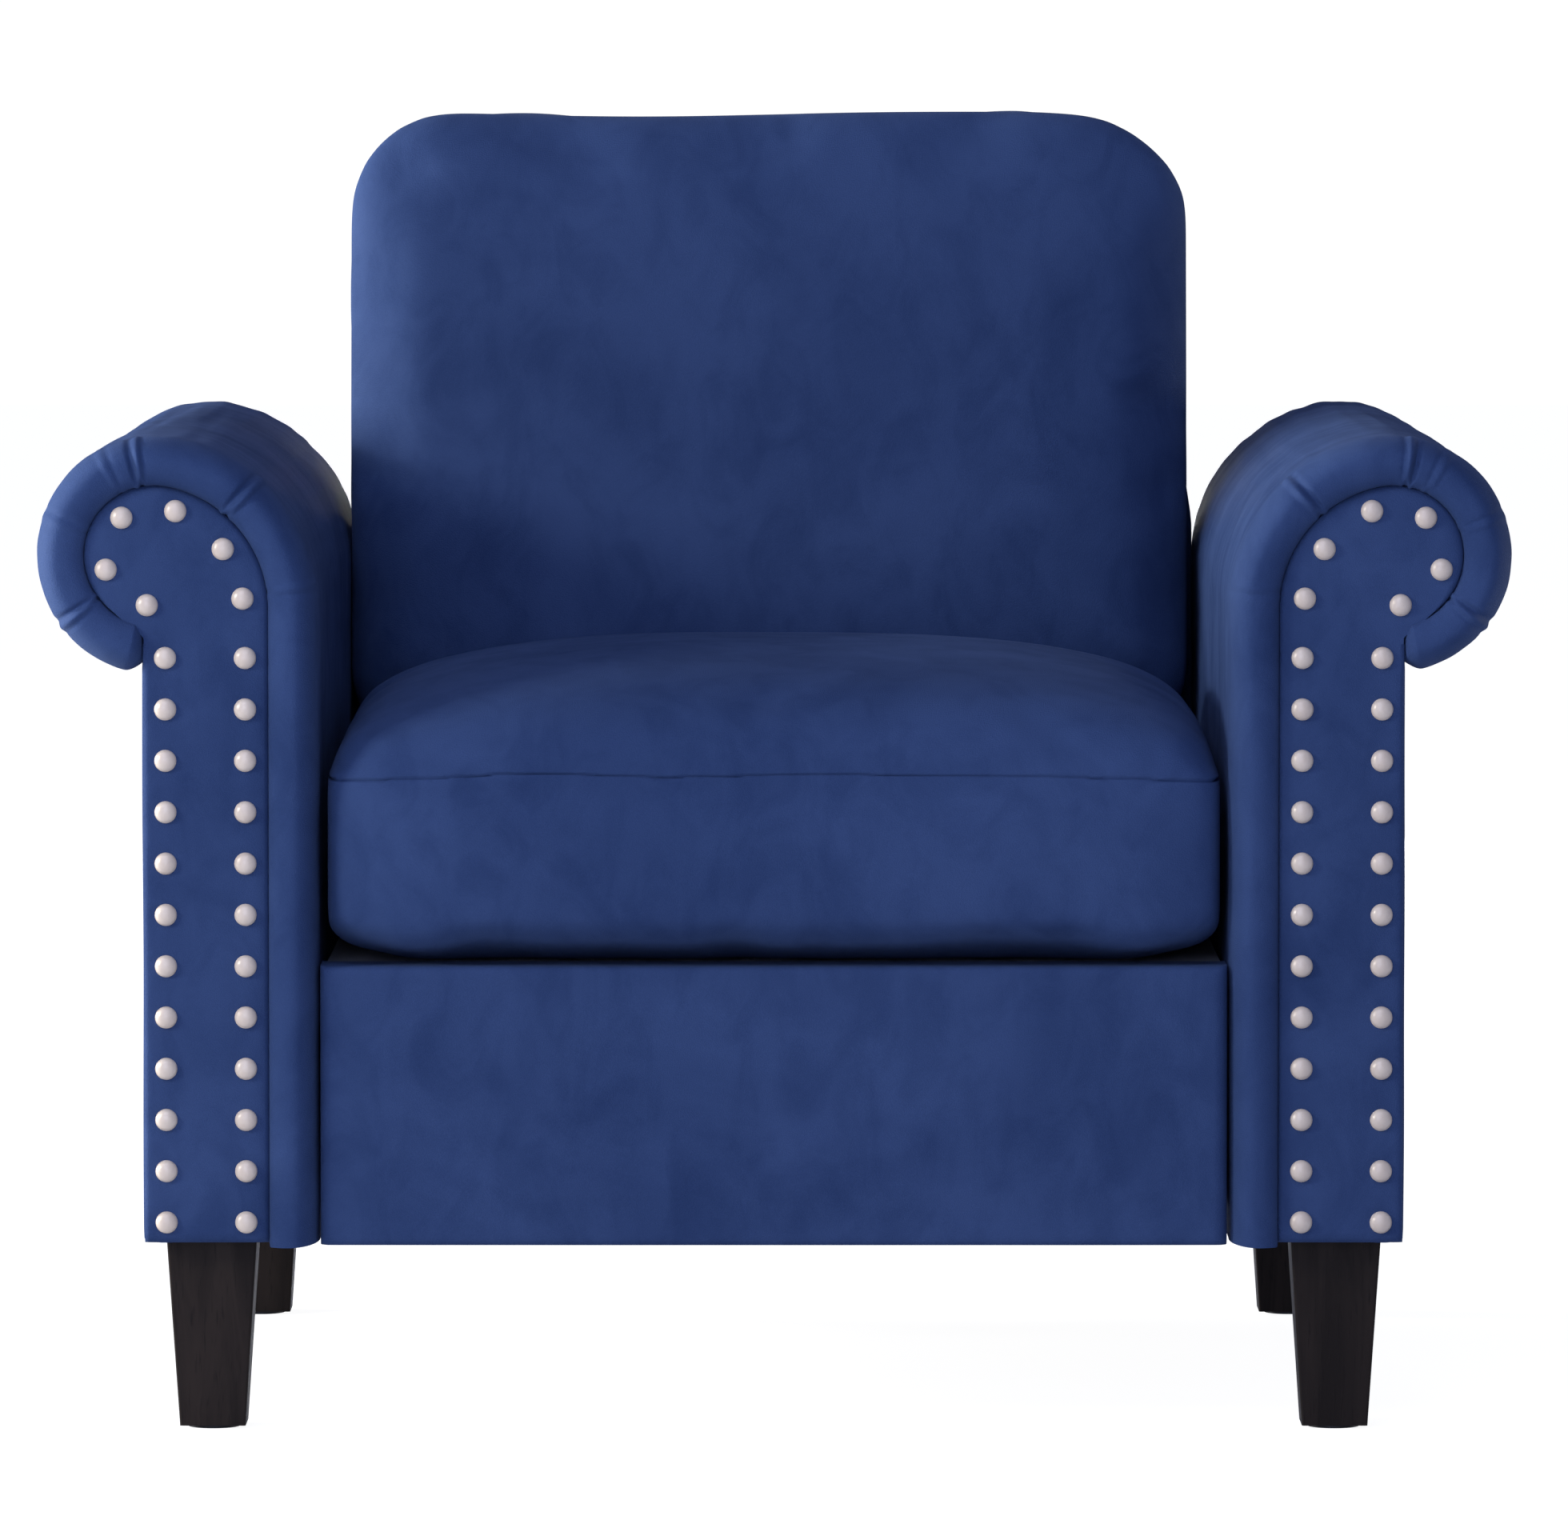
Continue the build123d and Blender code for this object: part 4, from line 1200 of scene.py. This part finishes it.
# %% [markdown]
# ## Pile
#
# Velvet is a forest of short threads. Where a hand has pushed them over, they show more or less of
# their sides and the cloth looks lighter or darker, in soft clouds and short smudges. `Pile` makes
# those clouds and smudges, and a height for the pile itself. It returns one mask for the colour
# and one height for the bump.

# %% pile group
pile, enter, leave = new_group(
    "Pile",
    [("Place", "NodeSocketVector", None), ("Cloud Scale", "NodeSocketFloat", 6.0),
     ("Smudge Scale", "NodeSocketFloat", 28.0), ("Pile Scale", "NodeSocketFloat", 1400.0)],
    [("Nap", "NodeSocketFloat"), ("Height", "NodeSocketFloat")])
where = enter.outputs["Place"]
clouds = noise_node(pile, where, enter.outputs["Cloud Scale"], 4, 0.55, 0.7)
drawn_out = stretched(pile, where, (1.0, 1.0, 0.6))
smudges = noise_node(pile, drawn_out, enter.outputs["Smudge Scale"], 4, 0.6, 0.9)
threads = noise_node(pile, where, enter.outputs["Pile Scale"], 2, 0.6)
cloud_part = remap(pile, clouds, 0.32, 0.68, 0.0, 1.0)
smudge_part = remap(pile, smudges, 0.30, 0.62, 0.0, 1.0)
thread_part = remap(pile, threads, 0.3, 0.7, 0.0, 1.0)
nap = calculate(pile, "MULTIPLY", cloud_part, 0.52)
nap = calculate(pile, "ADD", nap, calculate(pile, "MULTIPLY", smudge_part, 0.30))
nap = calculate(pile, "ADD", nap, calculate(pile, "MULTIPLY", thread_part, 0.18))
pile.links.new(nap, leave.inputs["Nap"])
lean = calculate(pile, "MULTIPLY", smudge_part, 0.5)
pile.links.new(calculate(pile, "ADD", thread_part, lean), leave.inputs["Height"])
print("Pile:", len(pile.nodes), "nodes")

# %% [markdown]
# The velvet itself is a dark navy with a little sheen: the sides of the threads catch the light
# at a glancing angle, so rounded edges look paler and greyer than flat faces. The base stays
# rough, as pile never shines like a mirror.

# %% velvet
def velvet_material(name, dark, light):
    material, tree, shader, place = new_material(name)
    node = use_group(tree, pile, place)
    colour_by(tree, shader, node.outputs["Nap"], dark, light)
    roughness_by(tree, shader, node.outputs["Nap"], 0.82, 0.66)
    shader.inputs["Specular IOR Level"].default_value = 0.05
    shader.inputs["Sheen Weight"].default_value = 0.08
    shader.inputs["Sheen Roughness"].default_value = 0.42
    shader.inputs["Sheen Tint"].default_value = (0.32, 0.40, 0.58, 1)
    add_bump(tree, shader, node.outputs["Height"], 0.35, 0.0006)
    return material


# %% [markdown]
# ## Woven and felted cloths
#
# The deck cloth, the dust cover, the webbing and the zip's tape are plain cloths. Two crossed
# bands of waves make a weave, and noise breaks it up so it doesn't look printed.

# %% weave group and cloths
weave, enter, leave = new_group(
    "Weave",
    [("Place", "NodeSocketVector", None), ("Threads", "NodeSocketFloat", 900.0),
     ("Fuzz", "NodeSocketFloat", 300.0)],
    [("Mask", "NodeSocketFloat"), ("Height", "NodeSocketFloat")])
where = enter.outputs["Place"]
waves = []
for direction in ("X", "Y", "Z"):
    wave = weave.nodes.new("ShaderNodeTexWave")
    wave.bands_direction = direction
    wave.inputs["Distortion"].default_value = 0.6
    weave.links.new(where, wave.inputs["Vector"])
    weave.links.new(enter.outputs["Threads"], wave.inputs["Scale"])
    waves.append(wave.outputs["Fac"])
crossed = calculate(weave, "MAXIMUM", waves[0], calculate(weave, "MAXIMUM", waves[1], waves[2]))
fuzz = noise_node(weave, where, enter.outputs["Fuzz"], 4, 0.6)
mask = calculate(weave, "MULTIPLY", crossed, fuzz)
weave.links.new(remap(weave, mask, 0.15, 0.65, 0, 1), leave.inputs["Mask"])
weave.links.new(crossed, leave.inputs["Height"])
print("Weave:", len(weave.nodes), "nodes")


def cloth_material(name, dark, light, threads, fuzz, rough):
    material, tree, shader, place = new_material(name)
    node = use_group(tree, weave, place, Threads=threads, Fuzz=fuzz)
    colour_by(tree, shader, node.outputs["Mask"], dark, light)
    roughness_by(tree, shader, node.outputs["Mask"], rough, rough - 0.12)
    shader.inputs["Sheen Weight"].default_value = 0.15
    add_bump(tree, shader, node.outputs["Height"], 0.5, 0.0004)
    return material


# %% [markdown]
# ## Wood
#
# The legs are stained so dark that the grain is a hint: long streaks along the leg, slightly
# glossier than the stain between them, with hardly any shine. The frame's own wood is bare.
# `Grain` is noise and fine pores, and each wood squeezes its coordinates along one direction,
# which draws the noise out into streaks.

# %% grain group and woods
grain, enter, leave = new_group(
    "Grain",
    [("Place", "NodeSocketVector", None), ("Streaks", "NodeSocketFloat", 40.0),
     ("Pores", "NodeSocketFloat", 500.0)],
    [("Mask", "NodeSocketFloat"), ("Pore Mask", "NodeSocketFloat")])
where = enter.outputs["Place"]
streaks = noise_node(grain, where, enter.outputs["Streaks"], 5, 0.6, 1.2)
pores = noise_node(grain, where, enter.outputs["Pores"], 2, 0.6)
grain.links.new(remap(grain, streaks, 0.3, 0.7, 0, 1), leave.inputs["Mask"])
grain.links.new(remap(grain, pores, 0.55, 0.75, 0, 1), leave.inputs["Pore Mask"])
print("Grain:", len(grain.nodes), "nodes")


def wood_material(name, dark, light, along, rough, streaks=45.0, shine=0.5):
    material, tree, shader, place = new_material(name)
    squeeze = [1.0, 1.0, 1.0]
    squeeze["XYZ".index(along)] = 0.08
    node = use_group(tree, grain, stretched(tree, place, squeeze), Streaks=streaks)
    colour = mix_colours(tree, node.outputs["Mask"], dark, light)
    colour = mix_colours(tree, node.outputs["Pore Mask"], colour, dark)
    tree.links.new(colour, shader.inputs["Base Color"])
    roughness_by(tree, shader, node.outputs["Mask"], rough + 0.08, rough - 0.06)
    shader.inputs["Specular IOR Level"].default_value = shine
    add_bump(tree, shader, node.outputs["Pore Mask"], 0.25, 0.0003)
    return material


# %% [markdown]
# ## Metals, foam and plastic
#
# The nails are pale and soft in gloss, and look like pearl more than bare metal.
# Springs, bolts and staples are zinc plated. Noise in the tone and roughness stands for handling
# marks, and foam gets its open cells from a Voronoi pattern.

# %% metals, plastics and foam
def handled_material(name, dark, light, rough, metallic, scale):
    """A hard surface with handling marks. rough is its lowest and highest roughness."""
    material, tree, shader, place = new_material(name)
    node = use_group(tree, pile, place)
    node.inputs["Cloud Scale"].default_value = scale
    node.inputs["Smudge Scale"].default_value = scale * 6
    colour_by(tree, shader, node.outputs["Nap"], dark, light)
    roughness_by(tree, shader, node.outputs["Nap"], rough[1], rough[0])
    shader.inputs["Metallic"].default_value = metallic
    return material


def foam_material(name, dark, light, cells):
    material, tree, shader, place = new_material(name)
    cell = tree.nodes.new("ShaderNodeTexVoronoi")
    cell.inputs["Scale"].default_value = cells
    tree.links.new(place, cell.inputs["Vector"])
    mask = remap(tree, cell.outputs["Distance"], 0.1, 0.7, 0, 1)
    node = use_group(tree, pile, place)
    toned = mix_colours(tree, node.outputs["Nap"], dark, light)
    colour_by(tree, shader, mask, toned, light)
    shader.inputs["Roughness"].default_value = 0.95
    add_bump(tree, shader, mask, 0.4, 0.0008)
    return material


# %% [markdown]
# Each finish runs between a dark and a light tone. With the tones in one table, the materials
# below only say what kind of surface each one is. The frame's own parts then get the material
# that the record names for them.

# %% every finish
TONES = {
    "velvet": ((0.0205, 0.0402, 0.110), (0.0425, 0.0745, 0.178)),
    "deck_cloth": ((0.010, 0.018, 0.055), (0.022, 0.036, 0.095)),
    "dust_cloth": ((0.006, 0.006, 0.007), (0.022, 0.022, 0.024)),
    "webbing": ((0.03, 0.026, 0.02), (0.10, 0.085, 0.06)),
    "zip_tape": ((0.006, 0.011, 0.035), (0.016, 0.026, 0.07)),
    "felt": ((0.14, 0.135, 0.12), (0.24, 0.23, 0.21)),
    "foam": ((0.60, 0.55, 0.36), (0.80, 0.76, 0.58)),
    "leg_wood": ((0.0098, 0.0062, 0.0045), (0.0230, 0.0152, 0.0112)),
    "hardwood": ((0.24, 0.13, 0.06), (0.48, 0.31, 0.17)),
    "plywood": ((0.38, 0.24, 0.12), (0.62, 0.45, 0.27)),
    "fibreboard": ((0.14, 0.09, 0.05), (0.20, 0.13, 0.08)),
    "nail_metal": ((0.67, 0.545, 0.43), (0.75, 0.635, 0.51)),
    "steel": ((0.28, 0.28, 0.29), (0.42, 0.42, 0.43)),
    "zip_metal": ((0.012, 0.016, 0.03), (0.028, 0.034, 0.055)),
    "clip_plastic": ((0.012, 0.012, 0.012), (0.026, 0.026, 0.026)),
    "glide_plastic": ((0.010, 0.010, 0.010), (0.022, 0.022, 0.022)),
}
SURFACES = {
    "velvet": (velvet_material, "navy_velvet", {}),
    "deck_cloth": (cloth_material, "deck_cloth", {"threads": 380, "fuzz": 240, "rough": 0.92}),
    "dust_cloth": (cloth_material, "black_nonwoven", {"threads": 160, "fuzz": 600, "rough": 0.95}),
    "webbing": (cloth_material, "elastic_webbing", {"threads": 260, "fuzz": 300, "rough": 0.9}),
    "zip_tape": (cloth_material, "zip_tape", {"threads": 900, "fuzz": 400, "rough": 0.85}),
    "felt": (foam_material, "needled_felt", {"cells": 420}),
    "foam": (foam_material, "foam", {"cells": 700}),
    "leg_wood": (wood_material, "espresso_wood", {"along": "Z", "rough": 0.50, "shine": 0.16}),
    "hardwood": (wood_material, "frame_hardwood", {"along": "X", "rough": 0.66}),
    "plywood": (wood_material, "plywood", {"along": "Y", "rough": 0.62}),
    "fibreboard": (wood_material, "fibreboard", {"along": "Y", "rough": 0.75, "streaks": 200.0}),
    "nail_metal": (handled_material, "pearl_nickel",
                   {"rough": (0.34, 0.42), "metallic": 0.10, "scale": 60}),
    "steel": (handled_material, "zinc_steel",
              {"rough": (0.30, 0.48), "metallic": 1.0, "scale": 40}),
    "zip_metal": (handled_material, "dark_enamel",
                  {"rough": (0.30, 0.42), "metallic": 0.6, "scale": 90}),
    "clip_plastic": (handled_material, "clip_plastic",
                     {"rough": (0.45, 0.6), "metallic": 0.0, "scale": 50}),
    "glide_plastic": (handled_material, "glide_plastic",
                      {"rough": (0.40, 0.55), "metallic": 0.0, "scale": 50}),
}
MATERIALS = {}
for slot, (kind, material_name, traits) in SURFACES.items():
    dark, light = ((*tone, 1) for tone in TONES[slot])
    MATERIALS[slot] = kind(material_name, dark, light, **traits)
for slot, pieces in finishes.items():
    for piece in pieces:
        piece.data.materials.clear()
        piece.data.materials.append(MATERIALS[slot])
slot_of = {part["node"]: part["material_slot"] for part in frame["record"]["subparts"]}
for name, node in frame["nodes"].items():
    if not node.hide_render:
        node.data.materials.clear()
        node.data.materials.append(MATERIALS[slot_of[name]])
print(len(MATERIALS), "finishes on", len(slot_of), "nodes")

# %% [markdown]
# # Studio
#
# The chair stands on a white floor. To the camera the floor glows, so it stays white out to the
# horizon and keeps only a breath of shadow under the chair. For the light that bounces about the
# room it is pale grey matt paper with a faint cool glow of its own.

# %% floor
WHITE = (1.0, 1.0, 1.0)
COOL = (0.80, 0.90, 1.32)
bm = bmesh.new()
bmesh.ops.create_grid(bm, x_segments=4, y_segments=4, size=20)
floor = mesh_object("floor", bm)
paper, tree, shader, place = new_material("white_paper")
node = use_group(tree, pile, place)
seen = tree.nodes.new("ShaderNodeLightPath").outputs["Is Camera Ray"]
paper_tone = mix_colours(tree, node.outputs["Nap"], (0.59, 0.59, 0.59, 1), (0.61, 0.61, 0.61, 1))
colour_by(tree, shader, seen, paper_tone, (0.30, 0.30, 0.30, 1))
shader.inputs["Roughness"].default_value = 0.9
shader.inputs["Specular IOR Level"].default_value = 0.0
glow = remap(tree, seen, 0, 1, 0.12, 0.94)
tree.links.new(glow, shader.inputs["Emission Strength"])
glow_colour = mix_colours(tree, seen, (*COOL, 1), (*WHITE, 1))
tree.links.new(glow_colour, shader.inputs["Emission Color"])
floor.data.materials.append(paper)
print("floor", round(floor.dimensions.x), "m across")

# %% [markdown]
# ## Lights
#
# Velvet needs light from low down at the sides: it grazes the rounded edges and leaves the tops
# dark. The strongest light stands a little behind the chair's left side. A small low one at the
# front left gives the nails their shadows, a broad cool one stands nearly straight ahead, and
# another hangs above it. Two behind keep the rear and the right side from going black.

# %% lights
LIGHT_CENTRE = Vector((0, 0, 0.4))


def studio_light(name, azimuth, elevation, distance, size, power, colour=WHITE):
    """A soft square light aimed at the chair. Azimuth 0 is the front and 90 the chair's right."""
    turn, rise = math.radians(azimuth), math.radians(elevation)
    way = Vector((math.sin(turn) * math.cos(rise), -math.cos(turn) * math.cos(rise),
                  math.sin(rise)))
    light = bpy.data.lights.new(name, "AREA")
    light.size = size
    light.energy = power
    light.color = colour
    obj = bpy.data.objects.new(name, light)
    obj.location = LIGHT_CENTRE + way * distance
    obj.rotation_euler = (-way).to_track_quat("-Z", "Y").to_euler()
    collection.objects.link(obj)


studio_light("side_light", -100, 10, 5.0, 1.6, 360)
studio_light("front_left_light", -60, 18, 3.6, 0.7, 50)
studio_light("front_light", -10, 10, 4.5, 1.8, 31, COOL)
studio_light("top_light", -15, 45, 4.0, 2.0, 32, COOL)
studio_light("rear_light", 178, -3, 5.0, 0.8, 130)
studio_light("right_light", 120, -2, 5.0, 0.9, 70)
print(len(bpy.data.lights), "lights")

# %% [markdown]
# The world shows the camera a plain white backdrop. To everything else it is a dim, slightly cool
# light from all sides.

# %% world
world = bpy.data.worlds.new("studio")
bpy.context.scene.world = world
world.use_nodes = True
tree = world.node_tree
ambient = tree.nodes["Background"]
ambient.inputs["Color"].default_value = (*COOL, 1)
ambient.inputs["Strength"].default_value = 0.22
backdrop = tree.nodes.new("ShaderNodeBackground")
backdrop.inputs["Color"].default_value = (*WHITE, 1)
backdrop.inputs["Strength"].default_value = 1.05
chosen = tree.nodes.new("ShaderNodeMixShader")
seen = tree.nodes.new("ShaderNodeLightPath").outputs["Is Camera Ray"]
tree.links.new(seen, chosen.inputs[0])
tree.links.new(ambient.outputs[0], chosen.inputs[1])
tree.links.new(backdrop.outputs[0], chosen.inputs[2])
tree.links.new(chosen.outputs[0], tree.nodes["World Output"].inputs["Surface"])
print("ambient light", round(ambient.inputs["Strength"].default_value, 2))

# %% [markdown]
# ## Camera
#
# The chair is seen from straight ahead, seven metres away and about at the eye height of someone
# sitting, through a long lens tipped down by a few degrees, so its lines stay almost parallel.

# %% camera
CAMERA_DISTANCE = 7.0
CAMERA_HEIGHT = 0.8087
AIM_POINT = Vector((0.006, FRONT, 0.3945))
camera_data = bpy.data.cameras.new("camera")
camera_data.sensor_width = 36
camera_data.lens = 276.3
camera_data.clip_end = 60
camera = bpy.data.objects.new("camera", camera_data)
camera.location = (AIM_POINT.x, FRONT - CAMERA_DISTANCE, CAMERA_HEIGHT)
camera.rotation_euler = (AIM_POINT - camera.location).to_track_quat("-Z", "Y").to_euler()
collection.objects.link(camera)
bpy.context.scene.camera = camera
bpy.context.scene.view_settings.view_transform = "Standard"
print("camera at", tuple(round(v, 3) for v in camera.location))
